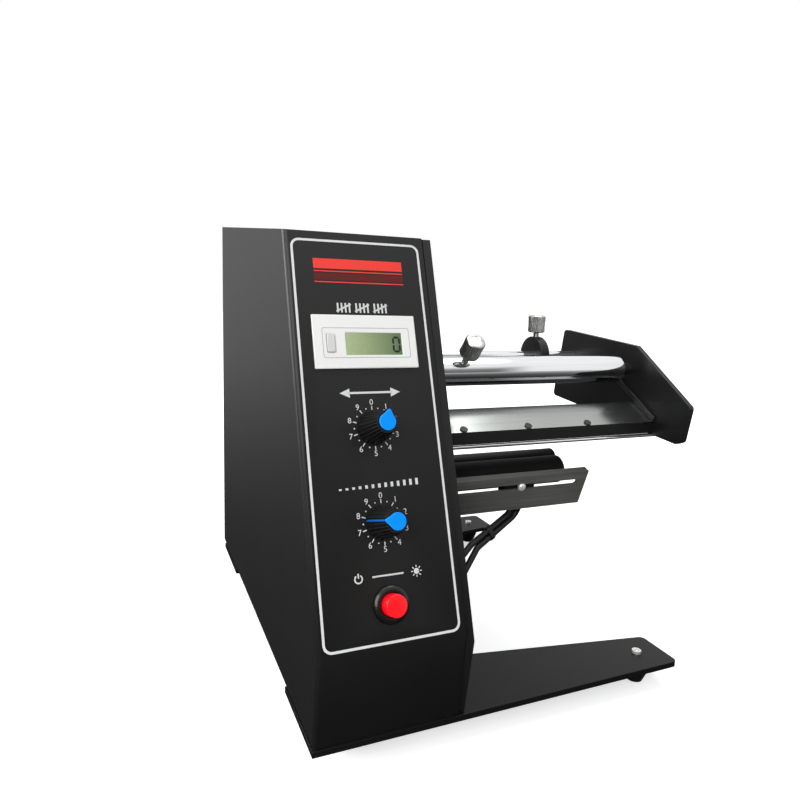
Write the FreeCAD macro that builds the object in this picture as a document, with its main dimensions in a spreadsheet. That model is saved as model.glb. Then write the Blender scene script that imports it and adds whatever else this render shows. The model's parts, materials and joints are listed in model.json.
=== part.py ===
import FreeCAD, Part
import math
import os
from types import SimpleNamespace

import Sketcher

# Desktop label dispenser. X runs right along the rods, -Y is the operator's side, Z is up.
# The origin is on the table, under the middle of the whole machine. All lengths are millimetres.

SIZES = {
    # overall
    "box_span": 207.0, "box_depth": 240.0, "knob_reach": 2.7, "back_fittings": 4.5, "foot_height": 12.0,
    "leg_thickness": 3.0, "floor_thickness": 2.0,
    # gaps: fixed parts, turning parts, parts that stay clear, and how far a cutting tool runs past
    "fit_gap": 0.02, "run_gap": 0.06, "clear_gap": 0.5, "spare": 2.0,
    # cover
    "cover_width": 66.4, "cover_wall": 1.5, "cover_bend": 2.5, "panel_lean": 20.75,
    "panel_length": 179.85, "chin_up": 44.8, "undercut": 3.0, "back_up": 225.0,
    "vent_width": 36.0, "vent_height": 2.5, "vent_step": 8.0, "vent_up": 140.0,
    # main plate and the posts that hold it to the cover
    "plate_gap": 0.6, "plate_thickness": 4.0, "plate_chin_up": 40.0, "plate_chin_back": 0.6,
    "plate_low_back": 6.0, "plate_top_drop": 0.5, "post_radius": 3.2, "post_in": 14.0, "post_low": 20.0,
    "post_front": 18.0, "post_chin_back": 15.0, "post_chin_up": 46.0, "post_top_drop": 25.0,
    "post_middle_back": 118.0, "thread_depth": 9.0,
    # legs, feet and the floor of the box
    "leg_reach": 197.0, "rear_reach": 206.0, "leg_edge": 3.5, "leg_taper": 1.5, "leg_root": 48.0,
    "leg_tip": 26.0,
    "leg_round": 3.0, "foot_top": 8.5, "foot_low": 4.5, "foot_near": 16.0, "foot_near_in": 24.0,
    "foot_in": 15.5, "foot_end": 15.0, "foot_head": 2.4, "foot_head_height": 1.4, "floor_inset": 1.0,
    # screws
    "screw_shank": 1.5, "screw_head": 2.75, "screw_head_height": 2.0, "hex_width": 1.25,
    # peel plate: its front edge, back from the chin and up from the legs, is where the arm is set out
    "peel_back": 46.0, "peel_up": 122.0, "peel_depth": 17.5, "peel_slope": 29.5, "peel_thickness": 1.2,
    "bar_behind": 0.4, "bar_depth": 6.5, "bar_low": 6.4, "bar_screw_up": 3.2, "peel_screw_first": 15.0,
    "peel_screw_step": 37.0, "peel_screw_in": 2.0, "peel_screw_radius": 1.2, "peel_screw_length": 4.2,
    "peel_head_radius": 1.9, "peel_head_height": 0.6,
    "rail_length": 36.0, "rail_height": 3.0, "rail_thickness": 1.5,
    # rods and side plate: distances behind and above the peel plate's front edge
    "shaft_radius": 3.0, "tube_radius": 7.5, "tube_behind": 24.0, "tube_rise": 26.5, "tube_start_gap": 1.5,
    "tube_gap": 8.4, "rod_radius": 3.0, "rod_behind": 75.0, "rod_rise": 28.6, "rod_inside": 7.0,
    "nut_wall": 3.0, "nut_thickness": 4.0, "guide_radius": 1.0, "guide_behind": 1.6, "guide_drop": 1.4,
    "side_thickness": 3.0, "side_round": 2.5, "side_lap": 16.5, "side_lap_drop": 9.0, "side_reach": 93.0,
    "side_back_in": 7.0, "side_back_rise": 44.5, "side_top_behind": 19.0, "side_top_rise": 40.0,
    "side_nose": 24.0, "side_nose_rise": 12.0, "side_chin": 21.0, "side_chin_drop": 7.0,
    # label guide disc and thumbscrews: places along the rods from the cover's left side
    "disc_radius": 12.0, "disc_width": 6.0, "disc_place": 171.3, "thumb_radius": 5.3,
    "thumb_height": 10.5, "disc_neck": 2.4, "tube_neck": 5.0, "thumb_neck_radius": 1.7, "thumb_lift": 0.1,
    "tube_screw_place": 94.0, "tube_screw_lean": 42.0,
    # rollers: below and behind the peel plate's front edge
    "drive_radius": 7.5, "drive_behind": 18.0, "drive_drop": 28.0, "roller_gap": 3.0,
    "drive_length": 81.0, "spindle_radius": 3.0, "spindle_inside": 10.0, "bearing_radius": 6.5,
    "pinch_radius": 5.0, "pinch_shaft_radius": 2.0, "pinch_length": 86.0, "nip_gap": 0.7, "nip_turn": 14.0,
    "gearbox_radius": 18.5, "gearbox_length": 22.0, "motor_radius": 17.5, "motor_length": 28.0,
    "motor_screw_step": 9.9, "motor_thread": 5.0,
    # sensor bracket: a tilted sheet with a slot, and a foot on the main plate
    "bracket_drop": 25.0, "bracket_height": 21.0, "bracket_tilt": 19.5, "bracket_length": 91.5,
    "bracket_sheet": 1.5, "bracket_lip": 4.0, "slot_width": 3.2, "slot_start": 12.5,
    "slot_length": 71.5, "slot_drop": 6.5, "bracket_foot_root": 14.0, "bracket_foot_reach": 26.0,
    "bracket_foot_half": 3.8, "bracket_foot_drop": 22.0, "bracket_screw_behind": 13.5,
    "bracket_screw_step": 8.0, "bracket_screw_rise": 1.5,
    # sensor and its cables
    "sensor_place": 51.0, "sensor_width": 18.0, "sensor_depth": 5.6, "sensor_height": 17.0,
    "sensor_above": 3.6, "sensor_throat": 4.0, "throat_down": 13.5, "throat_in": 2.6,
    "sensor_thread": 5.0, "sensor_head": 2.2, "sensor_head_height": 1.6,
    "cable_radius": 1.6, "cable_side": 1.9, "cable_exit": 3.3, "cable_drop": 8.0, "cable_bend": 6.0,
    "cable_knee_out": 26.0, "cable_knee_up": 10.0, "cable_knee_behind": 6.0, "emitter_lift": 2.0,
    "cable_turn_out": 13.0, "cable_spread": 3.3, "cable_entry": 1.9, "cable_gap": 0.3,
    "grommet_ahead": 2.0, "grommet_drop": 72.0, "grommet_radius": 5.0, "grommet_lip": 1.5,
    "grommet_lip_height": 1.2,
    # panel fittings: distances from the cover's left side and up the panel from the chin
    "panel_middle": 33.2, "counter_at": 129.1, "counter_width": 48.0, "counter_height": 24.0,
    "counter_rim": 1.5, "counter_body_width": 45.0, "counter_body_height": 22.0,
    "counter_body_depth": 30.0, "window_left": 14.6, "window_width": 26.2, "window_height": 10.0,
    "window_low": 5.9, "window_depth": 1.2, "window_sheet": 0.9, "key_left": 5.8, "key_width": 3.8,
    "key_height": 8.0, "key_low": 7.1, "key_drop": 3.0, "key_travel": 0.9, "key_out": 0.7,
    "key_gap": 0.1,
    # dials
    "length_at": 90.9, "speed_at": 50.6, "knob_radius": 7.5, "knob_height": 15.6, "knob_lift": 0.8,
    "knob_taper": 9.6, "knob_top": 4.0, "flute_radius": 0.6, "flute_out": 0.2, "cap_radius": 3.6,
    "cap_height": 1.0,
    "cap_tip": 5.4, "cap_shoulder": 1.0, "cap_half_shoulder": 3.45, "cap_half_tip": 0.35,
    "length_turn": 15.0, "speed_turn": 280.0, "pot_radius": 8.5, "pot_height": 9.0,
    "bush_radius": 3.9, "stem_radius": 3.0,
    # power button
    "button_at": 17.0, "button_rim": 8.0, "button_rim_height": 2.2, "button_radius": 4.7,
    "button_out": 7.6, "button_in": 6.0, "button_travel": 2.0, "button_barrel": 6.2,
    "button_barrel_depth": 16.0,
    # circuit board, on four standoffs under the rear rod
    "board_length": 96.0, "board_height": 78.0, "board_back": 112.0, "board_drop": 8.3,
    "board_sheet": 1.6, "board_stand": 12.0, "stand_in": 6.0, "stand_radius": 3.0, "stud_out": 2.0,
    "stud_in": 3.0, "capacitor_radius": 5.0, "capacitor_height": 14.0, "capacitor_first": 18.0,
    "capacitor_step": 15.0, "capacitor_up": 19.0, "chip_first": 20.0, "chip_step": 34.0,
    "chip_length": 24.0, "chip_height": 10.0, "chip_thickness": 4.0, "chip_up": 40.0, "chip_rise": 18.0,
    # transformer
    "core_length": 50.0, "core_height": 42.0, "core_width": 24.0, "core_back": 140.0, "core_left": 18.0,
    "coil_bulge": 8.0, "coil_gap": 0.2,
    # connector plate at the back
    "inlet_plate_width": 52.0, "inlet_plate_height": 64.0, "inlet_plate_up": 22.0, "inlet_lap": 6.0,
    "inlet_screw_in": 3.5, "inlet_sheet": 1.5, "inlet_width": 27.0, "inlet_height": 20.0,
    "inlet_depth": 24.0, "inlet_rim": 2.0, "inlet_up": 24.0, "socket_side": 1.5, "socket_depth": 15.0,
    "pin_width": 2.0, "pin_height": 4.0, "pin_length": 12.0, "pin_step": 7.0, "pin_drop": 2.0,
    "pin_rise": 2.5, "fuse_radius": 6.5, "fuse_up": 49.0, "fuse_depth": 30.0, "fuse_lap": 1.5,
    "fuse_head_height": 3.0, "connector_thread": 6.0,
}

doc = FreeCAD.newDocument("LabelDispenser")
sheet = doc.addObject("Spreadsheet::Sheet", "Sizes")
for row, (name, value) in enumerate(SIZES.items(), start=1):
    sheet.set(f"A{row}", name)
    sheet.set(f"B{row}", str(value))
    sheet.setAlias(f"B{row}", name)
doc.recompute()

NODES = []
VENT_COUNT = 6
FLUTE_COUNT = 24
PEEL_SCREW_COUNT = 3
AXIS_X = FreeCAD.Vector(1, 0, 0)
AXIS_Y = FreeCAD.Vector(0, 1, 0)
AXIS_Z = FreeCAD.Vector(0, 0, 1)


class Size:
    """A length or an angle: its number and the sheet expression that gives it."""

    def __init__(self, value, text):
        self.value = float(value)
        self.text = text

    def __add__(self, other):
        other = as_size(other)
        return Size(self.value + other.value, f"({self.text} + {other.text})")

    def __sub__(self, other):
        other = as_size(other)
        return Size(self.value - other.value, f"({self.text} - {other.text})")

    def __mul__(self, other):
        other = as_size(other)
        return Size(self.value * other.value, f"({self.text} * {other.text})")

    def __truediv__(self, other):
        other = as_size(other)
        return Size(self.value / other.value, f"({self.text} / {other.text})")

    def __radd__(self, other):
        return as_size(other) + self

    def __rsub__(self, other):
        return as_size(other) - self

    def __rmul__(self, other):
        return as_size(other) * self

    def __neg__(self):
        return Size(-self.value, f"(0 - {self.text})")


def as_size(value):
    """Return value as a Size, so plain numbers and sheet sizes mix in one formula."""
    return value if isinstance(value, Size) else Size(value, f"({float(value)!r})")


def sine(angle):
    """Sine of an angle in degrees."""
    angle = as_size(angle)
    return Size(math.sin(math.radians(angle.value)), f"sin({angle.text})")


def cosine(angle):
    """Cosine of an angle in degrees."""
    angle = as_size(angle)
    return Size(math.cos(math.radians(angle.value)), f"cos({angle.text})")


d = SimpleNamespace(**{name: Size(value, f"Sizes.{name}") for name, value in SIZES.items()})


def bind(thing, prop, value):
    """Set a property and tie it to the sheet."""
    value = as_size(value)
    setattr(thing, prop, value.value)
    thing.setExpression(prop, value.text)


def place(thing, at, axis=None, angle=0.0):
    """Put an object at a point, turned about an axis, with both tied to the sheet."""
    at = [as_size(value) for value in at]
    angle = as_size(angle)
    turn = FreeCAD.Rotation(axis, angle.value) if axis is not None else FreeCAD.Rotation()
    thing.Placement = FreeCAD.Placement(FreeCAD.Vector(*(value.value for value in at)), turn)
    for letter, value in zip("xyz", at):
        thing.setExpression(f"Placement.Base.{letter}", value.text)
    if axis is not None:
        thing.setExpression("Placement.Rotation.Angle", angle.text)
    return thing


def node(thing, label):
    """Name a finished sub-part and keep it for export."""
    thing.Label = label
    NODES.append(thing)
    return thing


def block(name, sides, at, axis=None, angle=0.0):
    """A rectangular block with its corner at a point."""
    box = doc.addObject("Part::Box", name)
    for prop, value in zip(("Length", "Width", "Height"), sides):
        bind(box, prop, value)
    return place(box, at, axis, angle)


def round_bar(name, radius, length, at, axis=None, angle=0.0):
    """A cylinder from a point, along Z unless it is turned."""
    bar = doc.addObject("Part::Cylinder", name)
    bind(bar, "Radius", radius)
    bind(bar, "Height", length)
    return place(bar, at, axis, angle)


def bar_x(name, radius, length, at):
    """A cylinder that runs in +X from a point."""
    return round_bar(name, radius, length, at, AXIS_Y, 90.0)


def hex_x(name, radius, length, at):
    """A hexagonal prism that runs in +X from a point."""
    prism = doc.addObject("Part::Prism", name)
    prism.Polygon = 6
    bind(prism, "Circumradius", radius)
    bind(prism, "Height", length)
    return place(prism, at, AXIS_Y, 90.0)


def join(name, things):
    """Fuse several objects into one solid."""
    fusion = doc.addObject("Part::MultiFuse", name)
    fusion.Shapes = things
    return fusion


def group(name, things):
    """Keep several separate solids together as one object."""
    bundle = doc.addObject("Part::Compound", name)
    bundle.Links = things
    return bundle


def cut(name, base, tools):
    """Take one or more objects away from a base."""
    removal = doc.addObject("Part::Cut", name)
    removal.Base = base
    removal.Tool = tools[0] if len(tools) == 1 else join(f"{name}_tools", tools)
    return removal


# ---------------------------------------------------------------- bodies and sketches

def new_body(name, at=(0.0, 0.0, 0.0), axis=None, angle=0.0):
    """A part-design body at a point."""
    return place(doc.addObject("PartDesign::Body", name), at, axis, angle)


def sketch_on(body, role, name):
    """A sketch on one of the body's own origin planes."""
    plane = next(item for item in body.Origin.OriginFeatures if item.Role == role)
    sketch = body.newObject("Sketcher::SketchObject", name)
    sketch.AttachmentSupport = [(plane, "")]
    sketch.MapMode = "FlatFace"
    return sketch


def dimension(sketch, constraint, value):
    """Add a driving dimension that follows the sheet."""
    index = sketch.addConstraint(constraint)
    sketch.setExpression(f"Constraints[{index}]", value.text)


def pin(sketch, curve, point, x, y):
    """Hold one point of a curve at a place measured from the sketch origin."""
    for kind, axis, value in (("DistanceX", -2, as_size(x)), ("DistanceY", -1, as_size(y))):
        if abs(value.value) < 1e-9:
            sketch.addConstraint(Sketcher.Constraint("PointOnObject", curve, point, axis))
        else:
            dimension(sketch, Sketcher.Constraint(kind, -1, 1, curve, point, value.value), value)


def draw_polygon(sketch, points):
    """Draw a closed outline through the points."""
    points = [(as_size(x), as_size(y)) for x, y in points]
    first = sketch.GeometryCount
    count = len(points)
    spots = [FreeCAD.Vector(x.value, y.value, 0) for x, y in points]
    for index in range(count):
        sketch.addGeometry(Part.LineSegment(spots[index], spots[(index + 1) % count]), False)
    for index in range(count):
        following = first + (index + 1) % count
        sketch.addConstraint(Sketcher.Constraint("Coincident", first + index, 2, following, 1))
    for index, (x, y) in enumerate(points):
        pin(sketch, first + index, 1, x, y)


def draw_circle(sketch, x, y, radius):
    """Draw a full circle."""
    x, y, radius = as_size(x), as_size(y), as_size(radius)
    centre = FreeCAD.Vector(x.value, y.value, 0)
    curve = sketch.addGeometry(Part.Circle(centre, AXIS_Z, radius.value), False)
    pin(sketch, curve, 3, x, y)
    dimension(sketch, Sketcher.Constraint("Radius", curve, radius.value), radius)


def pad(body, sketch, length, name, backwards=False):
    """Raise a sketch into a solid."""
    feature = body.newObject("PartDesign::Pad", name)
    feature.Profile = sketch
    feature.Reversed = backwards
    bind(feature, "Length", length)
    sketch.Visibility = False
    return feature


def pierce(body, sketch, name):
    """Cut a sketch through the whole solid that stands on the sketch's front side."""
    doc.recompute()
    before = body.Shape.Volume
    feature = body.newObject("PartDesign::Pocket", name)
    feature.Profile = sketch
    feature.Type = 1
    feature.Reversed = True
    doc.recompute()
    if not body.Shape.Volume < before:
        raise RuntimeError(f"{name} cuts nothing")
    return feature


def soften(body, feature, radius, wanted, name):
    """Round the edges of a feature that the test picks."""
    doc.recompute()
    edges = [f"Edge{number}" for number, edge in enumerate(feature.Shape.Edges, 1) if wanted(edge)]
    rounding = body.newObject("PartDesign::Fillet", name)
    rounding.Base = (feature, edges)
    bind(rounding, "Radius", radius)
    return rounding


def plate_x(name, outline, thickness, x, holes=(), windows=()):
    """A flat plate across X, outlined in Y and Z, pierced by round holes and windows."""
    body = new_body(name, (x, 0.0, 0.0))
    outer = sketch_on(body, "YZ_Plane", f"{name}_outline")
    draw_polygon(outer, outline)
    pad(body, outer, thickness, f"{name}_pad")
    if holes or windows:
        inner = sketch_on(body, "YZ_Plane", f"{name}_holes")
        for y, z, radius in holes:
            draw_circle(inner, y, z, radius)
        for corners in windows:
            draw_polygon(inner, corners)
        pierce(body, inner, f"{name}_pocket")
    return body


# ---------------------------------------------------------------- shared places

left = -((d.box_span + d.screw_head_height) / 2)
right = left + d.box_span
front = d.knob_reach - (d.box_depth + d.knob_reach + d.back_fittings) / 2
back = front + d.box_depth
middle_y = front + d.box_depth / 2
base = d.foot_height
floor_low = base + d.leg_thickness
cover_low = floor_low + d.floor_thickness
plate_left = left + d.cover_width + d.plate_gap
plate_right = plate_left + d.plate_thickness
side_left = right - d.side_thickness
span = side_left - plate_right

lean_sine = sine(d.panel_lean)
lean_cosine = cosine(d.panel_lean)
chin_z = base + d.chin_up
panel_top_y = front + d.panel_length * lean_sine
panel_top_z = chin_z + d.panel_length * lean_cosine
top_z = base + d.back_up

peel_y, peel_z = front + d.peel_back, base + d.peel_up
tube_y, tube_z = peel_y + d.tube_behind, peel_z + d.tube_rise
rod_y, rod_z = peel_y + d.rod_behind, peel_z + d.rod_rise
drive_y, drive_z = peel_y + d.drive_behind, peel_z - d.drive_drop
nip_reach = d.drive_radius + d.pinch_radius + d.nip_gap
pinch_y, pinch_z = drive_y + nip_reach * cosine(d.nip_turn), drive_z + nip_reach * sine(d.nip_turn)
slope_sine = sine(d.peel_slope)
slope_cosine = cosine(d.peel_slope)
bar_bottom = peel_z - d.bar_low
bar_y = peel_y + d.bar_behind
bar_screw_y = bar_y + d.bar_depth / 2
bar_screw_z = bar_bottom + d.bar_screw_up
guide_y, guide_z = peel_y + d.guide_behind, bar_bottom - d.guide_drop
grommet_y, grommet_z = peel_y - d.grommet_ahead, peel_z - d.grommet_drop


def on_panel(thing, x, up, out):
    """Stand an object on the sloping panel: across, up from the chin, out from its surface."""
    at = (left + x, front + up * lean_sine - out * lean_cosine,
          chin_z + up * lean_cosine + out * lean_sine)
    return place(thing, at, AXIS_X, 90.0 - d.panel_lean)


def panel_bar(name, radius, length, x, up, out):
    """A cylinder that stands straight out of the panel."""
    return on_panel(round_bar(name, radius, length, (0, 0, 0)), x, up, out)


def panel_block(name, sides, x, up, out):
    """A block that stands straight out of the panel."""
    return on_panel(block(name, sides, (0, 0, 0)), x, up, out)


# ---------------------------------------------------------------- legs and feet

def leg(label, sign, leg_reach):
    """A flat leg under the box; it narrows from the main plate to its rounded tip."""
    edge = d.box_depth / 2 - d.leg_edge
    tip = edge - d.leg_taper
    body = new_body(label, (0.0, 0.0, base))
    outline = sketch_on(body, "XY_Plane", f"{label}_outline")
    reach = left + leg_reach
    corners = [(left, edge), (reach, tip), (reach, tip - d.leg_tip),
               (plate_right, edge - d.leg_root), (left, edge - d.leg_root)]
    draw_polygon(outline, [(x, middle_y + sign * y) for x, y in corners])
    feature = pad(body, outline, d.leg_thickness, f"{label}_pad")
    tip_x = reach.value - 0.01
    soften(body, feature, d.leg_round,
           lambda edge: edge.BoundBox.XMin > tip_x and edge.BoundBox.ZLength > 1, f"{label}_corners")
    holes = sketch_on(body, "XY_Plane", f"{label}_holes")
    for x, y in foot_places(sign, leg_reach):
        draw_circle(holes, x, y, d.screw_shank + d.fit_gap)
    pierce(body, holes, f"{label}_pocket")
    return node(body, label)


def foot_places(sign, leg_reach):
    """Centres of the two feet of one leg."""
    edge = d.box_depth / 2 - d.leg_edge
    return [(left + d.foot_near, middle_y + sign * (edge - d.foot_near_in)),
            (left + leg_reach - d.foot_end, middle_y + sign * (edge - d.foot_in))]


leg("front_leg", -1.0, d.leg_reach)
leg("rear_leg", 1.0, d.rear_reach)

front_feet, rear_feet = foot_places(-1.0, d.leg_reach), foot_places(1.0, d.rear_reach)
feet, foot_screws = [], []
for number, (x, y) in enumerate(front_feet + rear_feet):
    cone = doc.addObject("Part::Cone", f"foot_cone_{number}")
    bind(cone, "Radius1", d.foot_low)
    bind(cone, "Radius2", d.foot_top)
    bind(cone, "Height", d.foot_height)
    place(cone, (x, y, 0.0))
    shank_low = d.foot_height / 3
    bore = round_bar(f"foot_bore_{number}", d.screw_shank + d.fit_gap, d.foot_height, (x, y, shank_low))
    feet.append(cut(f"foot_{number}", cone, [bore]))
    head = round_bar(f"foot_screw_head_{number}", d.foot_head, d.foot_head_height, (x, y, floor_low))
    shank = round_bar(f"foot_screw_shank_{number}", d.screw_shank, floor_low - shank_low, (x, y, shank_low))
    socket = doc.addObject("Part::Prism", f"foot_screw_socket_{number}")
    socket.Polygon = 6
    bind(socket, "Circumradius", d.hex_width)
    bind(socket, "Height", d.foot_head_height)
    place(socket, (x, y, floor_low + d.foot_head_height / 2))
    screw = join(f"foot_screw_solid_{number}", [head, shank])
    foot_screws.append(cut(f"foot_screw_{number}", screw, [socket]))
node(group("rubber_feet", feet), "rubber_feet")
node(group("foot_screws", foot_screws), "foot_screws")

# The box floor lies on the legs, a little inside the cover; the near foot screws pass its holes.
floor_depth = d.box_depth - 2 * (d.undercut + d.floor_inset)
floor = block("floor_sheet", (d.cover_width - 2 * d.floor_inset, floor_depth, d.floor_thickness),
              (left + d.floor_inset, front + d.undercut + d.floor_inset, floor_low))
head_holes = [round_bar(f"floor_hole_{number}", d.foot_head + d.clear_gap, d.floor_thickness * 3,
                        (x, y, floor_low - d.floor_thickness))
              for number, (x, y) in enumerate([front_feet[0], rear_feet[0]])]
node(cut("floor_plate", floor, head_holes), "floor_plate")

# ---------------------------------------------------------------- cover

cover_body = new_body("cover_shell", (left, 0.0, 0.0))
cover_outline = sketch_on(cover_body, "YZ_Plane", "cover_outline")
draw_polygon(cover_outline, [(front + d.undercut, cover_low), (back, cover_low), (back, top_z),
                             (panel_top_y, panel_top_z), (front, chin_z)])
cover_pad = pad(cover_body, cover_outline, d.cover_width, "cover_pad")
soften(cover_body, cover_pad, d.cover_bend,
       lambda edge: edge.BoundBox.XMax < 0.01 and edge.BoundBox.YLength < 100
       and edge.BoundBox.YMax < panel_top_y.value + 0.01, "cover_bends")

# The hollow is the same outline moved in by one wall; it runs out through the right and the foot.
wall_along = d.cover_wall / lean_cosine
corner_shift = d.cover_wall * (1 - lean_sine) / lean_cosine
hollow_low = cover_low - d.spare
hollow_body = plate_x("cover_hollow", [(front + d.undercut + wall_along, hollow_low),
                                       (back - d.cover_wall, hollow_low),
                                       (back - d.cover_wall, top_z - d.cover_wall),
                                       (panel_top_y + corner_shift, panel_top_z - d.cover_wall),
                                       (front + wall_along, chin_z)],
                      d.cover_width + d.spare, left + d.cover_wall)

through = 4 * d.cover_wall
middle = d.panel_middle
counter_left = middle - d.counter_width / 2
counter_base = d.counter_at - d.counter_height / 2
body_left = middle - d.counter_body_width / 2
body_base = d.counter_at - d.counter_body_height / 2
inlet_x = left + d.cover_width / 2
inlet_low = base + d.inlet_plate_up
openings = [
    panel_block("counter_opening", (d.counter_body_width + 2 * d.run_gap,
                                    d.counter_body_height + 2 * d.run_gap, through),
                body_left - d.run_gap, body_base - d.run_gap, -2 * d.cover_wall),
    block("inlet_opening", (d.inlet_plate_width - 2 * d.inlet_lap, through,
                            d.inlet_plate_height - 2 * d.inlet_lap),
          (inlet_x - d.inlet_plate_width / 2 + d.inlet_lap, back - 2 * d.cover_wall,
           inlet_low + d.inlet_lap)),
]
for word, radius, up in (("length", d.bush_radius, d.length_at), ("speed", d.bush_radius, d.speed_at),
                         ("button", d.button_barrel, d.button_at)):
    openings.append(panel_bar(f"{word}_opening", radius + d.run_gap, through, middle, up, -2 * d.cover_wall))
inlet_screw_places = [(inlet_x + side * (d.inlet_plate_width / 2 - d.inlet_screw_in), inlet_low + height)
                      for side in (-1, 1)
                      for height in (d.inlet_screw_in, d.inlet_plate_height - d.inlet_screw_in)]
for number, (x, z) in enumerate(inlet_screw_places):
    openings.append(round_bar(f"cover_screw_hole_{number}", d.screw_shank + d.fit_gap, through,
                              (x, back + d.cover_wall, z), AXIS_X, 90.0))
for number in range(VENT_COUNT):
    openings.append(block(f"vent_{number}", (d.vent_width, through, d.vent_height),
                          (inlet_x - d.vent_width / 2, back - 2 * d.cover_wall,
                           base + d.vent_up + number * d.vent_step)))
node(cut("cover", cover_body, [hollow_body] + openings), "cover")

# ---------------------------------------------------------------- main plate

low_y = front + d.plate_low_back
plate_outline = [(low_y, floor_low), (back, floor_low), (back, top_z - d.plate_top_drop),
                 (panel_top_y, panel_top_z - d.plate_top_drop),
                 (front + d.plate_chin_back, base + d.plate_chin_up)]
post_places = [(front + d.post_front, base + d.post_low), (front + d.post_chin_back, base + d.post_chin_up),
               (panel_top_y, panel_top_z - d.post_top_drop), (back - d.post_in, top_z - d.post_in),
               (back - d.post_in, base + d.post_low),
               (front + d.post_middle_back, top_z - d.post_top_drop)]
bracket_foot_z = peel_z - d.bracket_drop - d.bracket_foot_drop
bracket_screw_y = peel_y + d.bracket_screw_behind
bracket_screw_places = [(bracket_screw_y, bracket_foot_z + d.bracket_screw_rise),
                        (bracket_screw_y + d.bracket_screw_step, bracket_foot_z)]
motor_screw_places = [(drive_y + y * d.motor_screw_step, drive_z + z * d.motor_screw_step)
                      for y, z in ((1, 1), (1, -1), (-1, 1))]
board_y, board_z = front + d.board_back, rod_z - d.board_drop - d.board_height
stand_places = [(board_y + y, board_z + z) for y in (d.stand_in, d.board_length - d.stand_in)
                for z in (d.stand_in, d.board_height - d.stand_in)]
plate_holes = [(rod_y, rod_z, d.rod_radius + d.fit_gap), (tube_y, tube_z, d.shaft_radius + d.fit_gap),
               (guide_y, guide_z, d.guide_radius + d.fit_gap), (drive_y, drive_z,
                                                                d.bearing_radius + d.fit_gap),
               (pinch_y, pinch_z, d.pinch_shaft_radius + d.fit_gap),
               (grommet_y, grommet_z, d.grommet_radius + d.fit_gap),
               (bar_screw_y, bar_screw_z, d.screw_shank + d.fit_gap)]
for places in (post_places, bracket_screw_places, stand_places):
    plate_holes += [(y, z, d.screw_shank + d.fit_gap) for y, z in places]
main_plate = plate_x("main_plate_body", plate_outline, d.plate_thickness, plate_left, plate_holes)
motor_holes = [bar_x(f"motor_hole_{number}", d.screw_shank + d.fit_gap, d.plate_thickness * 3,
                     (plate_left - d.plate_thickness, y, z)) for number,
                     (y, z) in enumerate(motor_screw_places)]
node(cut("main_plate", main_plate, motor_holes), "main_plate")


def cap_screw(name, y, z, face, shank, facing=1.0):
    """A socket-head screw along X: its head stands on a face and its shank goes inwards."""
    head_at = face if facing > 0 else face - d.screw_head_height
    shank_at = face - shank if facing > 0 else face
    head = bar_x(f"{name}_head", d.screw_head, d.screw_head_height, (head_at, y, z))
    thread = bar_x(f"{name}_shank", d.screw_shank, shank, (shank_at, y, z))
    socket_at = face + d.screw_head_height / 2 if facing > 0 else face - d.screw_head_height * 1.5
    socket = hex_x(f"{name}_socket", d.hex_width, d.screw_head_height, (socket_at, y, z))
    return cut(name, join(f"{name}_solid", [head, thread]), [socket])


post_left = left + d.cover_wall
post_length = plate_left - post_left
thread_length = d.thread_depth - d.clear_gap
posts, post_screws = [], []
for number, (y, z) in enumerate(post_places):
    pillar = bar_x(f"post_bar_{number}", d.post_radius, post_length, (post_left, y, z))
    bore = bar_x(f"post_bore_{number}", d.screw_shank + d.fit_gap, d.thread_depth + d.spare,
                 (plate_left - d.thread_depth, y, z))
    posts.append(cut(f"post_{number}", pillar, [bore]))
    post_screws.append(cap_screw(f"post_screw_{number}", y, z, plate_right,
                                 d.plate_thickness + thread_length))
node(group("frame_posts", posts), "frame_posts")

# ---------------------------------------------------------------- side plate and rods

side_points = [(peel_y - d.side_lap, peel_z - d.side_lap_drop), (peel_y + d.side_reach, peel_z),
               (peel_y + d.side_reach - d.side_back_in, peel_z + d.side_back_rise),
               (peel_y + d.side_top_behind, peel_z + d.side_top_rise),
               (peel_y - d.side_nose, peel_z + d.side_nose_rise),
               (peel_y - d.side_chin, peel_z - d.side_chin_drop)]
side_screw_places = [(tube_y, tube_z), (rod_y, rod_z), (bar_screw_y, bar_screw_z)]
side_holes = [(y, z, d.screw_shank + d.fit_gap) for y, z in side_screw_places]
side_holes.append((guide_y, guide_z, d.guide_radius + d.fit_gap))
side_body = plate_x("side_plate", side_points, d.side_thickness, side_left, side_holes)
soften(side_body, side_body.Tip, d.side_round,
       lambda edge: edge.BoundBox.XLength > 1 and edge.BoundBox.YLength < 0.01
       and edge.BoundBox.ZLength < 0.01 and len(edge.Vertexes) == 2, "side_corners")
node(side_body, "side_plate")

rod_start = plate_left - d.rod_inside
rod_length = side_left - rod_start


def tapped_rod(label, radius, y, z):
    """A rod from inside the box to the side plate, with a thread in its outer end."""
    bar = bar_x(f"{label}_bar", radius, rod_length, (rod_start, y, z))
    bore = bar_x(f"{label}_tap", d.screw_shank + d.fit_gap, d.thread_depth + d.spare,
                 (side_left - d.thread_depth, y, z))
    return node(cut(label, bar, [bore]), label)


tapped_rod("front_shaft", d.shaft_radius, tube_y, tube_z)
tapped_rod("rear_rod", d.rod_radius, rod_y, rod_z)
node(bar_x("guide_rod", d.guide_radius, right - plate_left, (plate_left, guide_y, guide_z)), "guide_rod")
side_screws = [cap_screw(f"side_screw_{number}", y, z, right, d.side_thickness + thread_length)
               for number, (y, z) in enumerate(side_screw_places)]

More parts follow.
